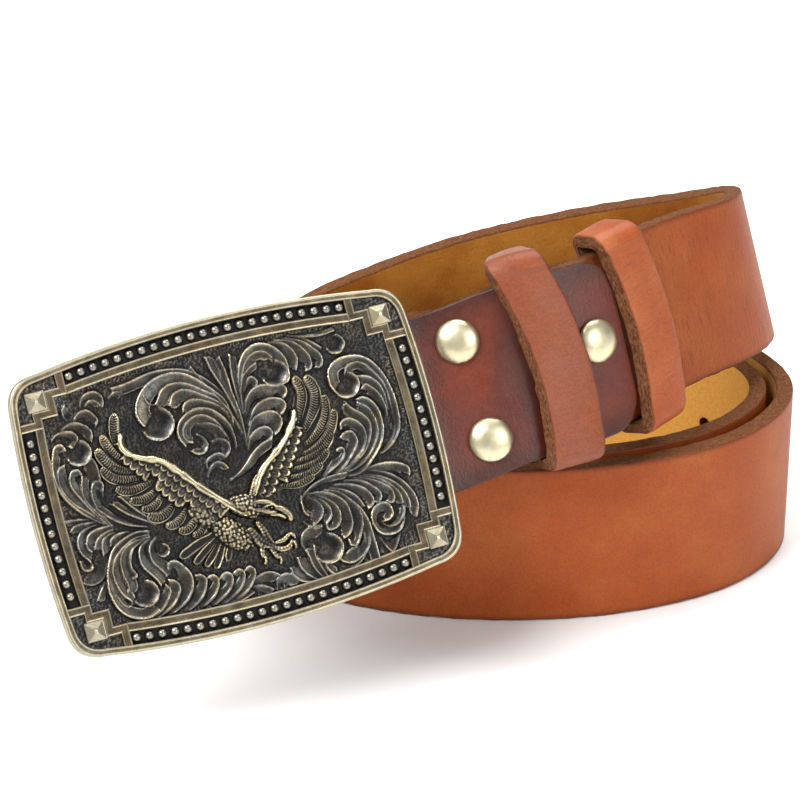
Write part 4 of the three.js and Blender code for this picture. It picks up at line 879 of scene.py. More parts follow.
# width and height of a leaf, then x, y pairs of its crest from root to tip; it
# lies inside the curve of its crest, or outside it where the width is negative
SCROLLS = [
    # scroll left of the palmette, and the small curl inside it
    (1.6, 0.8, 1.8, 14.4, -0.5, 18.3, -3.2, 21.2, -6, 23, -9, 23.8, -13.7, 24, -17.6, 23.3, -21.6, 22.9),
    (2.3, 1.1, 1.4, 10, 1, 14.4, -2.1, 18.6, -4.7, 21.2, -7.4, 22.7, -10.3, 23, -13.2, 22.4, -15.5, 21,
     -17.1, 19.1, -17.9, 17, -17.6, 14.9, -16.8, 13.6, -15.5, 12.8),
    (1.9, 1, 0.6, 12, -0.5, 15.7, -3.2, 18, -5.8, 19.9, -8.4, 20.8, -10.3, 20.7, -11.8, 19.8, -12.9, 18.3,
     -13.7, 17.4), (0.9, 0.9, -13.4, 17.4, -14.7, 17.8, -15.4, 19.1, -15.3, 20.4, -14.3, 21.3),
    (1.9, 1, 0.8, 12, -0.5, 14.6, -3.4, 17, -5.8, 18.6, -8.2, 19.1, -9.7, 18.4, -10.5, 17, -11, 16.5),
    (1.6, 0.95, 0.9, 11, -0.5, 13.8, -3.2, 15.7, -5, 16.5, -6.6, 16.6, -7.9, 15.9, -8.4, 14.4),
    (1.5, 0.95, 0.9, 5, 0.6, 9.5, -1, 12.3, -3.2, 14.1, -5.8, 14.6, -8.4, 13.8, -10.3, 11.7, -10.5, 9.6,
     -9.5, 7.5),
    (1.3, 0.9, -0.2, 6, -1, 9.1, -3.2, 12.3, -5.8, 13.3, -8.2, 12.3, -9.5, 10.2, -9.1, 8.6, -7.6, 7.8),
    (1, 0.9, -6.5, 9.4, -5.3, 8.2, -5, 6.7, -6, 5.4, -7.9, 5.6, -8.7, 6.5),
    (1.6, 0.8, -6, 11.6, -4.2, 11.3, -1.8, 9.8, -0.6, 7.4),
    (1.4, 0.8, -3.7, 7.3, -2.1, 7.4, -0.6, 6, -1, 4.1, -2.2, 3.4),
    (1.1, 0.8, -6.3, 2.2, -6.2, 3.4, -5, 4.4, -3.2, 4.6, -1.8, 3.3),
    (1, 0.8, -6.6, 0.5, -5.6, 2.2, -4.2, 3, -2.8, 2.4, -2, 1),
    # upper left scroll and the leaves that fall from it
    (1.3, 0.9, -30, -3.5, -33, -1, -35, 1.2, -36.6, 3.8, -37.5, 7.3, -37.4, 10.2, -36.6, 12.8, -35.5, 14.4,
     -34.5, 14.4, -33.7, 12.8),
    (1.5, 0.9, -29.5, -3.8, -33.2, 0.2, -34.7, 1.7, -36.6, 5.2, -36.8, 8.1, -35.8, 9.9, -34.5, 10.2),
    (1.6, 0.9, -29, -4, -32.1, 0.2, -33.7, 3.3, -34.7, 6, -34.5, 7.3, -33.4, 8.7, -32.4, 8.6, -31.8, 7.3),
    (1.2, 0.8, -28.6, -4, -31.6, 0.4, -32.7, 3.4, -31.8, 7.3),
    (1.5, 0.8, -28.4, -4.1, -30.8, 0.7, -30.8, 3.8, -29.5, 5.4, -28.2, 4.9, -28.5, 3),
    (2.1, 0.7, -28.6, 2, -28.3, 6, -28.6, 9.5, -29.6, 11),
    (1.2, 0.9, -36, 15.7, -34.7, 16.6, -32.9, 16.7, -31.3, 16.1, -30.7, 14.9, -31, 13.6, -32.1, 13, -33,
     13.7), (1.6, 0.8, -33.6, 17, -32.4, 17.8, -30.3, 17.9, -28.7, 17, -27.6, 15.4, -28.2, 13.3),
    (1.8, 0.8, -30.5, 18.6, -29.5, 19.6, -27.6, 19.9, -26.3, 18.6, -25.8, 17.3, -26.6, 16.2),
    (1.4, 0.8, -28.7, 20.9, -27.9, 22.5, -26.3, 23.3, -24.5, 22.8, -23.7, 21.5, -24.2, 19.6),
    (0.9, 0.7, -27.6, 20.6, -26.4, 21.6, -25.2, 21.2, -24.6, 20),
    (1.2, 0.6, -32, 18.8, -32.6, 20.6, -31.6, 22), (1.2, 0.7, -22.4, 21.2, -21, 22, -19.3, 21.6),
    # left fan
    (0.9, 0.7, -32.9, -1.7, -34.7, -1.2, -37.6, -1),
    (1.1, 0.7, -31.3, -2.5, -33.4, -2.3, -36, -2.4, -37.1, -3.3),
    (1.3, 0.8, -31.6, -3.2, -33.4, -3.3, -35.3, -4.1, -36.3, -6, -36, -8.1, -34.5, -10.2),
    (0.9, 0.8, -35.2, -9.4, -34.3, -11.5, -35.5, -11.9, -36.6, -11, -36.6, -9.4),
    (1.5, 0.9, -28.4, -4.1, -31.3, -4, -33.4, -4.6, -34.5, -6.2, -34.5, -7.5, -33.7, -8.3),
    (1.3, 0.8, -28.4, -4.9, -30.5, -5.2, -32.4, -6.5, -33.2, -8),
    (1.3, 0.8, -28.4, -5.6, -30.3, -6, -31.5, -7.5, -31.6, -9.6),
    (1.2, 0.8, -25.3, -6.2, -27.9, -6.1, -29.5, -7, -29.9, -8.3),
    (1, 0.8, -21.6, -6.2, -25.3, -4.9, -28.7, -2.3, -30.8, 0.1),
    (1, 0.8, -19.7, -6.2, -22.1, -4.6, -25.3, -2.3, -27.4, 0.1),
    (1, 0.8, -20.3, -4.9, -23.2, -2, -25.5, 1.2),
    (2.4, 0.6, -31.5, -11, -33, -14.2, -35.6, -14.8, -37.2, -14),
    (1.2, 0.7, -32.6, -14.8, -33.9, -16.2, -35.3, -18.2),
    # lower left scroll
    (1.7, 1.1, -21.6, -7, -24.2, -6.7, -26.8, -7.3, -29.5, -8.8, -31.3, -11.7, -32.4, -15.4, -32.1, -19.4,
     -30.5, -22.3, -28.2, -23.8, -25.5, -24.2, -23.2, -23.2),
    (1.5, 1, -21.6, -7.8, -24.2, -7.7, -26.8, -8.6, -29.2, -10.4, -30.7, -12.8, -30.8, -15.4, -30, -18.1,
     -28.4, -20.2), (1.3, 0.9, -28.6, -19.9, -28.3, -20.6, -29.2, -21.1, -30.3, -20.4, -31.2, -18),
    (1.6, 0.9, -21.6, -8.3, -24.2, -8.3, -26.8, -9.1, -28.4, -10.7, -28.9, -12.8, -28.7, -15.4, -28.4, -17,
     -28.9, -18.3),
    (1.4, 0.9, -22.9, -8.8, -25.3, -9.9, -26.4, -11.7, -26.6, -13.8, -26, -15.4, -27.4, -15.8),
    (1.7, 0.9, -22.1, -8.8, -23.7, -9.6, -24.7, -11.7, -24.5, -13.8, -23.2, -15.9, -22.1, -17.8, -21.8,
     -18.6), (1.6, 0.9, -20.5, -8.8, -21.8, -9.9, -22.5, -11.5, -22.1, -13.8, -20.8, -15.7, -20, -17.2),
    (-1.1, 0.9, -24.7, -22, -26.1, -20.7, -27.4, -19.6, -27.9, -18.1),
    # bottom row of leaves
    (1.9, 0.9, -26.4, -24.9, -25.3, -24.5, -22.6, -23.3, -20.8, -21.5, -20.1, -19.6, -20.8, -18.6),
    (2.2, 0.9, -24.4, -25, -23.2, -24.5, -20.5, -23.3, -18.7, -21.5, -18, -19.9, -18.7, -18.3, -20, -17.8),
    (2.5, 1, -20.5, -24.6, -17.4, -23.1, -15.5, -20.7, -15.1, -18.1, -16.3, -15.7, -18.2, -14.2, -19.3,
     -14.6, -19.6, -16),
    (2.2, 0.9, -17.1, -24.9, -14.2, -23.3, -12.6, -20.9, -12.4, -19.4, -13.7, -18.3, -14.7, -18.4),
    (2.2, 0.9, -13.9, -24.9, -11.6, -23.6, -10, -21.2, -10, -19.9, -11.1, -19.1, -12.1, -19.6),
    (2.2, 0.9, -11.6, -25.2, -8.9, -23.8, -7.1, -21.7, -7.1, -19.9, -8.4, -19.4, -9.7, -20.4),
    (2.1, 0.9, -9.5, -25.4, -6.6, -24.1, -4.7, -22, -4.5, -19.9, -5.5, -19.4, -6.8, -20.2),
    (2, 0.9, -8.4, -25.7, -5, -24.6, -2.6, -22.3, -2.1, -20.2, -3.2, -19.4, -4.2, -20.2),
    (0.8, 0.7, -10, -25.8, -6.3, -25.9, -3.2, -24.9),
    (1.7, 0.8, -4, -23.3, -2.1, -22, 0, -21.5, 1.8, -22, 3, -23),
    (1.2, 0.7, -4, -23.6, -1.8, -23.8, 0.3, -24.9, 1, -25.6),
    (1.8, 0.8, 1.4, -25.7, 2, -23.6, 3.8, -22.8, 5.6, -23.6, 7, -25),
    (0.7, 0.7, 5.9, -23.9, 8.5, -25.9, 11.2, -26.5, 14.3, -26.2),
    (0.9, 0.7, 16.4, -26.2, 19.1, -25.2, 20.9, -24.1, 22.8, -22),
    # lower middle scroll
    (1.6, 1, 16.4, -8.3, 19.1, -9.4, 20.9, -11.2, 22.5, -13.3, 23.8, -16.5, 24.1, -20.7, 24.3, -26),
    (1.6, 0.9, 19.6, -9.8, 21.2, -11.7, 22.5, -14.4, 22.5, -17.3, 21.2, -19.9, 19.8, -21.2, 18.8, -20.7,
     18.8, -19.4),
    (1.9, 0.9, 12.6, -8.2, 15.9, -8.6, 18.3, -9.9, 20.1, -12, 20.6, -14.4, 20.4, -16.7, 19.1, -18.6, 17.6,
     -19.1),
    (1.6, 0.9, 23.6, -16.5, 23.3, -19.6, 22.5, -22.3, 20.4, -23.8, 18, -24.4, 16.4, -23.6, 15.4, -22.3),
    (1.2, 0.8, 17.2, -23.3, 17.5, -22.3, 18.8, -21.5, 20.4, -21.5),
    (1.2, 0.9, 15.1, -21.5, 13.8, -21.2, 12.7, -22.5, 13, -24.6, 14.3, -26),
    (1.2, 0.9, 12.6, -26, 11.4, -23, 10.9, -20.5, 11.3, -18.6),
    (1.5, 0.9, 12, -26.2, 10.1, -23.3, 9.6, -20.7, 9.3, -19.2),
    (1.8, 0.9, 10.8, -26.2, 8.5, -24.4, 7.2, -21.7, 7.2, -20.2),
    (1.8, 0.8, 9.4, -26.2, 6.7, -25.2, 5.4, -23.3, 5.3, -22),
    (1.9, 0.8, 9.3, -19.4, 8.8, -17.8, 9.1, -16.5, 10.4, -15.2, 11.9, -14.9, 14.3, -15.4),
    (2, 0.9, 12.7, -8.8, 14.3, -10.2, 15.1, -12, 14.3, -13.8, 12.2, -14.9),
    (1.5, 0.9, 14.3, -8.8, 16.4, -10.2, 18, -12, 18.4, -14.1, 17.5, -16.2, 16.2, -16.7, 15.1, -16.5, 14.8,
     -15.4), (1.2, 0.9, 13.8, -9.1, 15.9, -10.9, 16.7, -12.8, 16.2, -14.4, 14.8, -15.4),
    (0.8, 0.8, 11.4, -8.3, 10.9, -10.2, 11.2, -12, 11.9, -12.8),
    (0.9, 0.8, 10.6, -13.8, 11.7, -15.2, 12.7, -15.7, 14.3, -15.4),
    # lower right fan and scroll
    (1.6, 0.9, 24.7, -6.9, 27.2, -6.1, 30.4, -6.1, 33.5, -7, 35.1, -8.6, 34.8, -9.9),
    (1.5, 0.9, 26.7, -6.7, 30.9, -8.6, 33.5, -11.2, 34.8, -13.8, 35, -16.5, 34, -18.8),
    (1.5, 0.9, 25.4, -7.3, 29.1, -8.8, 31.9, -11.2, 33.3, -14.1, 33.4, -16.5),
    (1.5, 0.9, 24.4, -7.4, 27.8, -8.7, 30.4, -10.8, 31.9, -13.4, 32, -15.4),
    (1.6, 0.9, 23.3, -7.5, 26.4, -8.6, 29.1, -10.4, 30.6, -12.8, 29.8, -14.6, 28.5, -13.8),
    (1.6, 0.9, 21.2, -7.5, 24.8, -8.6, 26.9, -10.4, 27.9, -12.5, 26.9, -13.8, 25.9, -13.3),
    (1.6, 0.9, 19.1, -7.8, 22.2, -8.6, 24.8, -10.2, 25.9, -12, 25.9, -13.6, 24.3, -14.6),
    (1.5, 0.8, 18, -8.3, 20.9, -9.6, 23, -11.7, 23.8, -13.8),
    (1.6, 1, 32.4, -14.5, 32.2, -16, 31.6, -18.2, 30, -20.4, 28, -20.9, 25.6, -20, 24.5, -17.5, 24.9, -15.3,
     26.4, -14.1, 28.5, -14.2, 29.3, -15.5, 29.2, -17, 28, -17.8, 26.9, -17.7),
    (0.9, 0.9, 26.7, -18.1, 27.7, -19.1, 29.6, -19.1, 31.4, -17.8, 32.2, -15.7),
    (1.3, 0.7, 25.4, -21.2, 26.2, -23.2, 27.5, -25), (1.3, 0.7, 29.8, -21.2, 28.3, -23.6, 27, -24.9),
    # right scroll and the leaves that fall from it
    (1.8, 1.1, 30.4, -4.1, 33, -2.8, 35.1, -0.4, 35.9, 3, 35.8, 7.5, 34.8, 11.7, 33.3, 14.6, 30.9, 16.7, 28,
     17.3, 25.4, 17, 23.8, 15.9, 23, 13.8, 23.5, 11.2, 25.1, 9.6),
    (1.3, 0.9, 34.6, 3.5, 34.6, 6.5, 34.3, 9.9, 32.7, 13, 30.6, 15.4, 28.5, 15.7, 27.2, 14.9, 26.7, 13.3),
    (1.5, 0.9, 34, 4.5, 34, 7.3, 33, 10.7, 31.2, 12.3, 29.1, 12.8),
    (1.5, 0.9, 33.6, 3.5, 33.3, 7, 31.9, 9.6, 30.4, 10.7, 29.3, 9.9),
    (1.6, 1, 22.3, -7, 24.3, -7, 28.3, -4.6, 30.9, -1.7, 31.9, 1, 31.9, 4.6, 30.9, 7, 29.1, 8.3, 27.7, 8.1),
    (1.5, 0.9, 21.4, -6.2, 25.6, -5.2, 29.1, -2.3, 30.6, 0.4, 30.6, 3.8, 29.3, 6.5, 27.7, 7.5),
    (1.6, 0.9, 20.4, -6.5, 24.3, -4.6, 26.9, -2.8, 28.6, -0.5, 29.3, 3.3, 28, 5.2, 26.4, 6.7, 25.4, 8.1),
    (1.6, 0.9, 19, -6.4, 24.3, -4.2, 26.9, -2, 28, 0.9, 27.5, 2.8, 26.4, 4.1, 24.3, 4.8, 23, 3.8, 23, 2.8),
    (1.6, 0.9, 16.9, -6.7, 21.7, -4.9, 24.6, -2.3, 25.9, -0.2, 25.6, 1.2, 25.1, 2, 23.5, 2.1, 22.2, 1.2),
    (1.4, 0.9, 16.4, -6.2, 20.4, -4.1, 22.5, -2.3, 22.5, -1, 21.4, -0.7, 20.8, -1.4),
    (1, 0.8, 11.5, -8.6, 14.3, -6.7, 17.5, -5.9, 22, -6),
    # palmette, the scroll on its right and the leaves under it
    (1.3, 0.8, 3, 8.6, 1.9, 13.8, 0.6, 18.3, -0.7, 22.3, -1, 24.4),
    (1.3, 0.8, 2.7, 7.3, 1.2, 12.5, -1, 16.5, -3, 20.4, -4.4, 23.2),
    (1.2, 0.8, 3, 4.6, 3.3, 11.2, 2.7, 16.5, 2.5, 20.4, 1.9, 23.8),
    (1.2, 0.8, 3.5, 11.2, 3.4, 15.9, 3.5, 20.4, 4.1, 23.8),
    (2, 1.1, 4.1, 13, 4.4, 17.5, 5.4, 20.9, 7.7, 23.8, 10.6, 24.4, 12.7, 23.6, 14.3, 22, 15.4, 19.6, 15.4,
     17.3, 14.8, 15.4, 13, 14.9),
    (1.4, 0.9, 3.8, 11.2, 4.3, 15.2, 5.6, 19.1, 7.2, 21.7, 9.6, 22.9, 11.7, 22.3, 12.7, 20.9),
    (1, 0.8, 4.6, 15.2, 5.6, 18.3, 7.7, 20.2, 9.3, 20.7),
    (1.2, 0.8, 5.4, 15.7, 6.2, 17.3, 7.2, 18.2, 8.3, 17.3, 8, 15.7),
    (1.9, 0.9, 16.4, 24.1, 20.1, 22.3, 21.9, 20.4, 23, 18.3, 22.2, 16.5, 20.9, 16.7),
    (1.9, 0.9, 14.3, 24.2, 18, 22.8, 19.8, 20.7, 20.6, 18.3, 20.1, 16.7, 18.8, 16.5),
    (1.9, 0.9, 12.7, 24.1, 15.9, 23, 17.5, 20.9, 17.7, 18.8, 16.9, 17),
    (1, 0.8, 19.1, 23.6, 21.7, 22, 23.5, 20.2), (0.7, 0.7, 17.2, 24.4, 20.4, 23.3, 23.8, 22.8, 27.2, 23.1),
    (2.5, 0.9, 4.2, 11.5, 4.8, 13, 6.4, 15.2, 8.8, 16, 11.4, 15.3, 13.8, 14.4, 13.8, 13, 12.7, 12),
    (2.5, 0.9, 4.3, 8.5, 5.1, 9.9, 6.7, 12, 9.3, 12.9, 11.7, 12.5, 13, 11.2, 12.7, 9.9, 11.4, 8.8),
    (2.5, 0.9, 3.4, 6, 4.1, 7.5, 5.6, 9.6, 8, 10.4, 10.4, 9.9, 11.4, 8.1, 10.6, 6.2, 9.1, 5.2),
    (2.1, 0.9, 3, 4, 3.5, 5.2, 4.6, 6.7, 6.4, 7.5, 8.3, 7.1, 8.8, 6, 8.3, 4.6),
    (1.5, 1, -2, -1.2, 0.1, -0.2, 3.3, 2.6, 5.6, 4.1, 8.3, 4.9),
]
# dished round heads of the scrolls: x, y, radius, height
HEADS = [
    (-14, 13.5, 3.5, 1), (-31.3, 11.8, 2.7, 0.9), (-25.2, -19.3, 2.8, 0.95), (-19.5, -11.7, 1.4, 0.8),
    (14.2, -20.2, 3.2, 1), (12.3, 17.6, 2.8, 1), (26.6, 11.5, 2.8, 1), (26.4, 20.3, 2.1, 0.8),
]
# points every 0.15 mm along a stroke
STROKE_STEP = 0.15


def stroke(pairs, shift=0):
    """A line of the ornament: its points a step apart, their ways, and the way it curls."""
    knots = np.array(pairs, float).reshape(-1, 2)
    stops = np.concatenate([[0], np.cumsum(np.linalg.norm(np.diff(knots, axis=0), axis=1))])
    line = spline(stops, knots)(np.linspace(0, stops[-1], max(int(stops[-1] / STROKE_STEP), 12)))
    way = np.gradient(line, axis=0)
    way /= np.linalg.norm(way, axis=1)[:, None]
    turning = np.sum(way[:-1, 0] * way[1:, 1] - way[:-1, 1] * way[1:, 0])
    return line + (shift, 0), way, 1.0 if turning >= 0 else -1.0


def near_stroke(xs, ys, line, way, reach):
    """The part of the grid within reach: its window, offset from the line, place along it."""
    (x0, y0), (x1, y1) = line.min(axis=0) - reach, line.max(axis=0) + reach
    columns, rows = slice(*np.searchsorted(xs, (x0, x1))), slice(*np.searchsorted(ys, (y0, y1)))
    gx, gy = np.meshgrid(xs[columns], ys[rows])
    flat = np.column_stack([gx.ravel(), gy.ravel()])
    nearest = np.concatenate([
        np.argmin((part[:, None, 0] - line[:, 0]) ** 2 + (part[:, None, 1] - line[:, 1]) ** 2, axis=1)
        for part in np.array_split(flat, len(flat) // 4000 + 1)])
    off = flat - line[nearest]
    aside = way[nearest, 0] * off[:, 1] - way[nearest, 1] * off[:, 0]
    apart = np.linalg.norm(off, axis=1) * np.where(aside < 0, -1, 1)
    return (rows, columns), apart.reshape(gx.shape), (nearest / (len(line) - 1)).reshape(gx.shape)


def hump(distance, width):
    """A rounded ridge of height 1 over a line."""
    return np.exp(-(distance / width) ** 2)


def dome_over(r):
    """A half ball of height 1, from the distance to its middle in radii."""
    return np.sqrt(np.clip(1 - r ** 2, 0, 1))


def dished_leaf(q, t, width, height, length):
    """A leaf that widens from its root to a round tip, dished inside its crest."""
    round_tip = dome_over(np.clip((t - 1) * length / width + 1, 0, 1))
    full = 1.35 * width * (0.4 + 0.6 * eased(t / 0.5)) * round_tip
    u = np.clip(q / np.maximum(full, 0.01), 0, 1)
    dish = (0.8 - 0.62 * u + 0.14 * u * u) * np.clip((1 - u) * full / 0.3, 0, 1)
    back = 0.76 * np.clip(1 + q / 0.4, 0, 1) ** 1.4
    far_rim = 0.45 * hump(full - 0.14 - q, 0.17) * eased((t - 0.5) / 0.3) * (q > 0)
    form = np.where(q >= 0, dish, back) + 0.2 * hump(q, 0.19) + far_rim
    return 1.2 * height * form * (0.6 + 0.4 * eased(t / 0.4))


def pebbles(x, y, pitch, radius, seed):
    """Small domes scattered at about a pitch, from 0 to 1."""
    size = 211
    chance = np.random.default_rng(seed).uniform(-0.36, 0.36, (size, size, 2))
    i, j = np.floor(x / pitch).astype(int), np.floor(y / pitch).astype(int)
    nearest = np.full(x.shape, 9.0)
    for m, n in ((i + di, j + dj) for di in (-1, 0, 1) for dj in (-1, 0, 1)):
        nudge = chance[m % size, n % size]
        cx, cy = (m + 0.5 + nudge[..., 0]) * pitch, (n + 0.5 + nudge[..., 1]) * pitch
        nearest = np.minimum(nearest, np.hypot(x - cx, y - cy))
    return dome_over(nearest / radius)


def blurred(heights, cells):
    """Heights averaged over a square of cells, for finding crests and hollows."""
    for axis in (0, 1):
        padded = np.concatenate([np.repeat(heights.take([0], axis), cells + 1, axis), heights,
                                 np.repeat(heights.take([-1], axis), cells, axis)], axis)
        total = np.cumsum(padded, axis)
        size = heights.shape[axis]
        span = 2 * cells + 1
        heights = (total.take(range(span, span + size), axis) - total.take(range(size), axis)) / span
    return heights


def relief_piece(name, xs, ys, heights, wear, cells, finish):
    """A relief from a grid of heights over the plate's floor, with the cells kept."""
    rows, columns = np.nonzero(cells)
    corner = rows * len(xs) + columns
    corners = np.stack([corner, corner + 1, corner + len(xs) + 1, corner + len(xs)], axis=1)
    used, faces = np.unique(corners, return_inverse=True)
    gx, gy = np.meshgrid(xs, ys)
    points = np.column_stack([gx.ravel(), gy.ravel(), (heights + PLATE_FLOOR).ravel()])[used]
    cast_piece(name, points, faces.reshape(-1, 4).tolist(), wear.ravel()[used], finish)


def to_sides(x, y, inset):
    """Distance in from the inset long side and short side, past the corners' rounding too."""
    long_bow, short_bow = sunk_by(np.clip(x, -LONG_SIDE_END, LONG_SIDE_END),
                                  np.clip(y, -SHORT_SIDE_END, SHORT_SIDE_END))
    return HALF_HEIGHT - inset - long_bow - np.abs(y), HALF_LENGTH - inset - short_bow - np.abs(x)


def cells_inside(xs, ys, inset):
    """The middles of a grid's cells, and whether each lies within the inset outline."""
    x, y = np.meshgrid((xs[:-1] + xs[1:]) / 2, (ys[:-1] + ys[1:]) / 2)
    return x, y, np.minimum(*to_sides(x, y, inset)) > 0


# the grid covers the sunk field, and each leaf only changes the part of it within its reach
xs, ys = np.arange(-38.0, 38.0, FIELD_STEP), np.arange(-26.8, 26.4, FIELD_STEP)
grid_x, grid_y = np.meshgrid(xs, ys)
scroll_height = np.zeros_like(grid_x)
for width, height, *pairs in SCROLLS:
    line, way, curl = stroke(pairs)
    window, apart, t = near_stroke(xs, ys, line, way, 1.4 * abs(width) + 0.5)
    leaf = dished_leaf(apart * curl * np.sign(width), t, abs(width), height, STROKE_STEP * len(line))
    scroll_height[window] = np.maximum(scroll_height[window], leaf)
for x, y, radius, height in HEADS:
    r = np.hypot(grid_x - x, grid_y - y) / radius
    # the dish is deepest up and left of its middle and opens there to the scroll
    lean = ((grid_x - x) - (grid_y - y)) / radius / math.sqrt(2)
    dish = 0.08 + 0.8 * np.clip(r ** 2 + 0.35 * lean, 0, 2) ** 1.2
    dish = np.minimum(dish, 0.9) + 0.22 * hump((r - 0.95) * radius, 0.16)
    opening = eased((-0.35 - lean) / 0.3)
    head = np.maximum(opening * scroll_height, (1 - opening) * height * dish)
    scroll_height = np.where(r < 1, head, scroll_height)

# the ground between the scrolls: stippled, with a row of short punch marks along the band
STIPPLE_PITCH, STIPPLE_RADIUS, STIPPLE_RISE = 0.58, 0.27, 0.15
PUNCH_PITCH, PUNCH_RISE, PUNCH_REACH = 0.62, 0.1, 1.3
ground = np.clip(1 - scroll_height / 0.2, 0, 1)
stipple = pebbles(grid_x, grid_y, STIPPLE_PITCH, STIPPLE_RADIUS, 5)
to_long, to_short = to_sides(grid_x, grid_y, 6.0)
to_band = np.minimum(to_long, to_short)
along_band = np.where(to_long < to_short, grid_x, grid_y)
punched = PUNCH_RISE * np.cos(2 * np.pi * along_band / PUNCH_PITCH) * hump(to_band, PUNCH_REACH)
field_height = scroll_height + ground * (STIPPLE_RISE * stipple + punched)
# the casting's own skin: uneven by 0.015 mm every 0.5 mm
field_height += 0.015 * unevenness(grid_x / 0.5, grid_y / 0.5, 8)
# crests are rubbed most; the stippling is rubbed too, more so towards the border
crest = field_height - blurred(field_height, 3)
near_border = 0.3 + 1.1 * np.exp(-np.clip(to_band, 0, None) / 4)
field_wear = 0.17 + 0.7 * crest + 0.335 * scroll_height + ground * (0.05 + 0.13 * stipple) * near_border

# The relief: silver-grey to pale gold on its crests, the black bath kept between them
relief_brass = antiqued(
    "antiqued_brass_relief",
    [(0.0, "#0B0A0A"), (0.2, "#1D1B1A"), (0.38, "#46443F"), (0.55, "#77746B"), (0.74, "#A79E89"),
     (1.0, "#DCD2BA")], metal_from=0.6, rough_low=0.26, rough_high=0.42, grit=0.15, bathed=0.6)
relief_piece("buckle_scroll_ground", xs, ys, field_height, np.clip(field_wear, 0, 1),
             cells_inside(xs, ys, FIELD_INSET)[2], relief_brass)

# the same ground inside each corner's stepped band, under the pyramid
CORNER_STEP, CORNER_PITCH, CORNER_PEBBLE, CORNER_RISE = 0.26, 0.66, 0.33, 0.16
# inset of the rim round it, how far it reaches under the stepped band, and its round corner
RIM_INSET, UNDER_BAND = 1.6, 0.6
ROUND_AT, ROUND_RADIUS = (35.6, 22.4), 6.2
xs, ys = np.arange(-43.0, 43.0, CORNER_STEP), np.arange(-31.0, 31.0, CORNER_STEP)
corner_height = CORNER_RISE * pebbles(*np.meshgrid(xs, ys), CORNER_PITCH, CORNER_PEBBLE, 6)
cell_x, cell_y, cells = cells_inside(xs, ys, RIM_INSET)
cell_x, cell_y = np.abs(cell_x), np.abs(cell_y)
cells &= ~cells_inside(xs, ys, FIELD_INSET + 0.1)[2]
cells &= (cell_x > CROSSBAR_LONG_AT - UNDER_BAND) & (cell_y > CROSSBAR_SHORT_AT - UNDER_BAND)
cells &= np.hypot(np.clip(cell_x - ROUND_AT[0], 0, None),
                  np.clip(cell_y - ROUND_AT[1], 0, None)) < ROUND_RADIUS
relief_piece("buckle_corner_ground", xs, ys, corner_height, 0.16 + 1.6 * corner_height, cells, relief_brass)


# ---------------------------------------------------------------------------
# Eagle. The high middle of the casting, 51 mm across, wings raised: smooth
# leading edges, shingled coverts, barbed quills, a feathered body and talons.
# Only its crests are rubbed back to the gold; its hollows keep the dark wash.
# ---------------------------------------------------------------------------

EAGLE_STEP = 0.13
EAGLE_ACROSS = -0.25
# closed outlines of the wings' sheets
LEFT_WING = (
    -22.6, 13, -22.6, 10.4, -20, 8, -14, 4.6, -8.5, -1.6, -3, -6.4, -8, -9.6, -11.4, -9.9, -14, -8.2, -17,
    -6.4, -19.4, -4.8, -20.6, -2.8, -22.2, -0.6, -24.4, 2.2, -26, 5, -26.4, 8.4, -25.4, 12, -24, 14)
RIGHT_WING = (
    14, 8.8, 15.4, 12, 16.4, 14, 17.6, 13, 19, 12.6, 20, 9, 21, 7, 21.8, 5, 20, 1.4, 18.6, -0.8, 17.4, -3.2,
    14.6, -5, 11, -6, 6.6, -6.2, 2, -7.4, 0.6, -5.6, 2.4, -2.4, 5, 0, 9.2, 3, 12, 5.6)
# width and height, then x, y pairs from the wing's tip to the shoulder
WING_EDGES = [
    (1.5, 2.2, -22.1, 13, -22.5, 11.2, -21.6, 9.4, -20, 8.1, -17.6, 7, -15.5, 6.2, -13.7, 4.6, -11.6, 2.3,
     -8.4, -1.5, -5.8, -4.1, -3.2, -6.7, -1, -8.8),
    (1.45, 2.2, 14.3, 8.8, 13.8, 7.5, 12.2, 5.2, 9.8, 2.8, 7.2, 0.9, 5.2, -0.6, 3.5, -2.8, 1.9, -5.6),
]
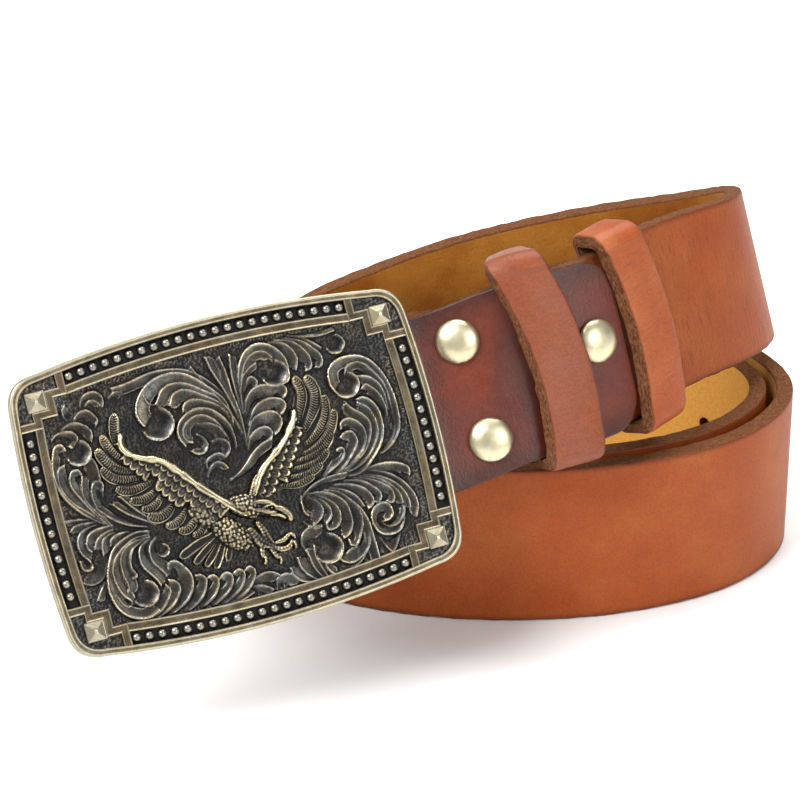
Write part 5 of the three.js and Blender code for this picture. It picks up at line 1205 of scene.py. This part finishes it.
# width and height, then x, y pairs of the shaft from root to tip
QUILLS = [
    (1.7, 1.8, -22.6, 9.6, -23.1, 13.6, -21.9, 17.9),
    (1.6, 1.7, -20.9, 6.2, -23.4, 8.6, -25, 11.4, -25.8, 14.2),
    (1.9, 1.7, -19.8, 5.2, -23.4, 6, -26, 8.4, -27.5, 11.8),
    (1.8, 1.6, -19.4, 3.9, -23.6, 4.1, -26, 5.4, -27.4, 7.8),
    (1.7, 1.6, -18.4, 2.4, -21.6, 1.7, -24, 2, -25.6, 3),
    (1.6, 1.5, -17.6, 0.6, -20, -0.6, -22.2, -0.6, -23.5, 0),
    (1.5, 1.5, -16.6, -0.8, -18.6, -2.4, -20.4, -2.8, -21.6, -2.2),
    (1.9, 1.5, -14.6, -2.8, -17, -4.8, -19, -5, -20.7, -3.8),
    (1.5, 1.5, -12.6, -4.8, -14.6, -6.8, -16.2, -7.3, -17.6, -6.8),
    (1.5, 1.5, -10.6, -6.6, -12.6, -8.6, -14, -9, -15.2, -8.3),
    (1.4, 1.4, -8.8, -8, -10.4, -9.8, -11.6, -10.4, -12.7, -10.2),
    (1.7, 1.7, 14.9, 6.6, 16, 9, 17.1, 12.4, 16.1, 16),
    (1.9, 1.7, 16, 5, 18.4, 7.8, 19.9, 11.6, 18.5, 15.6),
    (1.6, 1.6, 15.6, 1.8, 18.6, 3.8, 20.8, 6.6, 21.4, 10.8),
    (1.6, 1.6, 14.6, -0.2, 18.2, 1, 21, 3.2, 22.8, 7.4),
    (1.5, 1.5, 12.6, -1.2, 16, -1, 18.8, 0.2, 21.2, 2.6),
    (1.4, 1.5, 11, -2.6, 14.6, -2.8, 17.2, -2.2, 19.6, -0.4),
    (1.4, 1.5, 9.8, -4, 13, -4.4, 15.4, -4, 17.6, -2.8),
    (1.3, 1.4, 8, -5.2, 10.6, -5.8, 13, -5.6, 15.4, -4.8),
]
TAIL = [
    (2, 1.5, -8.6, -11.4, -12, -12.4, -16.4, -14.2), (1.6, 1.5, -8.2, -12.4, -11, -14.2, -13.8, -16.2),
    (1.5, 1.5, -7.6, -13.2, -9.6, -15.4, -11.7, -17.3), (1.5, 1.4, -6.8, -13.8, -8.2, -16, -9.8, -18.3),
    (1.4, 1.3, -5.4, -14, -6.2, -15.8, -6.9, -17.5),
]
LEGS = [
    (1.9, 1.8, -0.8, -12.4, 0.2, -14.2, 1.6, -15.9, 3.2, -16.9),
    (1.5, 1.7, 1.2, -11.4, 2, -13.4, 2.6, -15.4, 3.4, -16.4),
    (1.1, 1.7, 2.8, -16.6, 4.6, -17.8, 6.4, -17.6, 7.1, -16.6),
    (1.1, 1.5, 1.2, -15.8, 0.6, -17, 0.5, -18.2), (1.1, 1.5, 2.4, -16.8, 3, -18.2, 3.4, -19.2),
    (1, 1.6, 4, -16.2, 5.6, -16, 6.8, -15.2),
]
CLAWS = [
    (0.7, 1.7, 6.9, -16.8, 7.6, -17.2, 7.6, -18.2), (0.7, 1.5, 0.5, -18, 0.9, -18.9, 0.5, -19.8),
    (0.7, 1.5, 3.3, -19, 4, -19.6, 3.7, -20.6), (0.7, 1.6, 6.6, -15.3, 7.6, -15.4, 7.9, -16.2),
]
HEAD_RIDGES = [
    (1.15, 2.9, 0.8, -7.2, 2.2, -7.2, 3.5, -7.6, 4.9, -8.4, 6, -9.3),
    (1.35, 2.9, 5.4, -9.2, 6.5, -9.8, 7.3, -10.6, 7.8, -11.4, 7.8, -12.3),
    (1.1, 2.7, 1, -8.5, 2.4, -9, 3.9, -9.7, 5.2, -10.1),
    (0.85, 2.5, 4.2, -10.4, 5.4, -10.7, 6.3, -11.2, 6.8, -11.7), (0.5, 3, 3.2, -8.5, 4.3, -8.4, 5.4, -9.1),
]
# rounded masses: x, y, half sizes along, across and in height, turn in degrees, feather size
BODY = [
    (-4.6, -12, 5.4, 2.9, 2.6, -46, 0.8), (-9.4, -7, 3.9, 2.2, 2, -46, 0.95),
    (-0.2, -7.3, 4.3, 2.6, 2.9, -24, 0.75), (3.5, -8.9, 3.1, 1.75, 2.7, -26, 0.55),
]
EYE = (4.5, -9.05)


def inside_shape(x, y, pairs):
    """Where points lie inside a closed outline."""
    corners = np.array(pairs, float).reshape(-1, 2) + (EAGLE_ACROSS, 0)
    within = np.zeros(x.shape, bool)
    for (ax, ay), (bx, by) in zip(corners, np.roll(corners, -1, axis=0)):
        crosses = (ay > y) != (by > y)
        within ^= crosses & (x < ax + (y - ay) * (bx - ax) / (by - ay if by != ay else 1e-9))
    return within


def coverts(x, y, outward, across, along, depth, limit):
    """Short feathers laid like shingles, inner rows over outer ones, tips outward,
    as far as a feather's tip is less than the limit away from the leading edge."""
    a = (y * outward[0] - x * outward[1]) / across
    b = (x * outward[0] + y * outward[1]) / along
    surface = np.full_like(x, -9.0)
    # the row that starts here lies under the one before it, which reaches over
    for row in (np.floor(b), np.floor(b) - 1):
        ca = a + 0.5 * (row % 2)
        ca = ca - np.floor(ca) - 0.5
        cb = b - row
        r = np.hypot(ca / 0.5, np.clip(cb - 0.8, 0, None) / 0.6)
        feather = 0.1 + 0.42 * cb + 0.12 * hump(r - 0.8, 0.16) + 0.08 * hump(ca, 0.08)
        surface = np.where((r < 1) & (depth + (1.1 - cb) * along < limit), feather, surface)
    return surface


xs, ys = np.arange(-30.0, 26.0, EAGLE_STEP), np.arange(-22.0, 20.0, EAGLE_STEP)
grid_x, grid_y = np.meshgrid(xs, ys)
# heights over the plate's floor: where there is no eagle, the wings' sheets, the feathers on them
BARE, SHEET, COVERTS = -0.4, 0.55, 1.15
COVERT_WIDTH, COVERT_LENGTH, COVERT_REACH, WING_REACH = 1.7, 1.9, 5.6, 6.8
eagle = np.full_like(grid_x, BARE)
gilt = np.zeros_like(grid_x)
WINGS = ((LEFT_WING, (-0.8, -0.6), WING_EDGES[0]), (RIGHT_WING, (0.85, -0.53), WING_EDGES[1]))
for outline, outward, edge in WINGS:
    within = inside_shape(grid_x, grid_y, outline)
    eagle = np.where(within, SHEET, eagle)
    line, way, _ = stroke(edge[2:], EAGLE_ACROSS)
    window, apart, t = near_stroke(xs, ys, line, way, WING_REACH)
    # the coverts reach furthest along the middle of the edge and fade out at the wing's tip
    limit = COVERT_REACH - 3.4 * np.clip(np.abs(t - 0.6) / 0.5, 0, 1) ** 2
    limit *= np.clip(t / 0.16, 0, 1)
    short = COVERTS + coverts(grid_x[window], grid_y[window], outward, COVERT_WIDTH, COVERT_LENGTH,
                              np.abs(apart), limit)
    laid = within[window] & (short > 0)
    eagle[window] = np.where(laid, np.maximum(eagle[window], short), eagle[window])
    gilt[window] = np.where(laid, 0.07, gilt[window])
BARB_PITCH, SCUTE_PITCH, QUILL_REACH, RIDGE_REACH = 0.52, 0.7, 2.0, 2.2
for rows, barbs in ((QUILLS, 0.24), (TAIL, 0.0)):
    # each quill lies over the one before it, and all of them under the coverts
    vanes, bright = np.full_like(eagle, BARE), np.zeros_like(eagle)
    for width, height, *pairs in rows:
        width *= 1.3 if barbs else 1
        line, way, curl = stroke(pairs, EAGLE_ACROSS)
        window, apart, t = near_stroke(xs, ys, line, way, QUILL_REACH)
        length = len(line) * STROKE_STEP
        round_tip = dome_over(np.clip((t - 1) * length / (0.9 * width) + 1, 0, 1))
        half = 0.5 * width * (0.65 + 0.35 * eased(t / 0.5)) * round_tip + 0.01
        u = np.abs(apart) / half
        # the outer vane is a smooth rim, the inner one a comb of barbs
        inner = apart * curl / half
        barb = 0.5 + 0.5 * np.cos(2 * np.pi * (t * length / BARB_PITCH - 0.7 * u))
        vane = height * (0.5 + 0.12 * t) + barbs * barb * (inner > -0.5) * (u < 0.74)
        vane += 0.34 * hump(u - 0.84, 0.13) * np.where(inner < 0, 1, 0.15 if barbs else 1)
        vane += 0.22 * inner * np.sign(barbs) - 0.9 * np.clip(0.2 - t, 0, 1)
        rubbed = (0.12 if barbs else 0.26) * (inner < -0.5)
        rubbed = rubbed + 0.3 * barb * (inner > -0.5) * (u < 0.8) * (barbs > 0)
        bright[window] = np.where(u < 1, rubbed - 0.08, bright[window])
        vanes[window] = np.where(u < 1, vane, vanes[window])
    gilt = np.where(vanes > eagle, bright, gilt)
    eagle = np.maximum(eagle, vanes)
# the body's masses, covered with feathers that are smallest on the head
for x, y, long, wide, high, degrees, size in BODY:
    turn = math.radians(degrees)
    dx, dy = grid_x - x - EAGLE_ACROSS, grid_y - y
    r = np.hypot((dx * math.cos(turn) + dy * math.sin(turn)) / long,
                 (dy * math.cos(turn) - dx * math.sin(turn)) / wide)
    lump = 0.85 * high * dome_over(r) + 0.4 * pebbles(grid_x, grid_y, size, size * 0.52, 9)
    eagle = np.where(r < 1, np.maximum(eagle, lump), eagle)
    gilt = np.where(r < 1, 0.1, gilt)
# ridges with a swelling line: the wings' leading edges, the legs and the head
for width, height, *pairs in WING_EDGES + LEGS + CLAWS + HEAD_RIDGES:
    line, way, _ = stroke(pairs, EAGLE_ACROSS)
    window, apart, t = near_stroke(xs, ys, line, way, RIDGE_REACH)
    along = t * len(line) * STROKE_STEP
    swell = 0.45 + 0.55 * np.sqrt(np.clip(np.sin(np.pi * np.clip(0.06 + 0.88 * t, 0, 1)), 0, 1))
    half = width * 0.54 * swell * (1 + 0.22 * unevenness(along / 1.3, apart * 0, 4))
    u = np.clip(np.abs(apart) / half, 0, 1)
    rounded = height * (0.75 + 0.25 * swell) * (0.5 + 0.5 * np.sqrt(1 - u ** 3))
    if width > 1.2 and height < 2.5:
        # the leading edge and the thigh are flat, with a groove along the inner half
        rounded -= 0.1 * apart + 0.22 * hump(apart + 0.1, 0.16) * eased((t - 0.3) / 0.3)
    if height < 2:
        # knuckles and scutes of the legs
        rounded = rounded + 0.09 * np.cos(2 * np.pi * along / SCUTE_PITCH)
    raised = np.where(u < 1, rounded, BARE)
    gilt[window] = np.where(raised > eagle[window], 0.3 if 2 < height < 2.5 else 0.04, gilt[window])
    eagle[window] = np.maximum(eagle[window], raised)
eye = np.hypot(grid_x - EYE[0] - EAGLE_ACROSS, grid_y - EYE[1])
eagle += 0.25 * dome_over(eye / 0.3) - 0.3 * hump(eye - 0.45, 0.14)
# what stands clear of the ground is the eagle; one more cell round it closes its foot
high = eagle > 0.2
around_it = blurred(high.astype(float), 1) > 0
eagle = np.where(high, eagle, -0.35)
crest = eagle - blurred(np.maximum(eagle, 0.2), 4)
eagle_wear = np.clip(0.2 + 1.3 * np.minimum(crest, 0.3) + 0.07 * eagle + gilt, 0, 1) * high
eagle_cells = around_it[:-1, :-1] & around_it[1:, :-1] & around_it[:-1, 1:] & around_it[1:, 1:]

# The eagle: the same bath, rubbed to a warmer gold on its edges and feather tips
eagle_brass = antiqued(
    "antiqued_brass_eagle",
    [(0.0, "#0A0909"), (0.22, "#1B1917"), (0.42, "#4A463E"), (0.6, "#857C69"), (0.78, "#B8AA87"),
     (1.0, "#E8DCB9")], metal_from=0.6, rough_low=0.26, rough_high=0.5, grit=0.12)
relief_piece("buckle_eagle", xs, ys, eagle, eagle_wear, eagle_cells, eagle_brass)
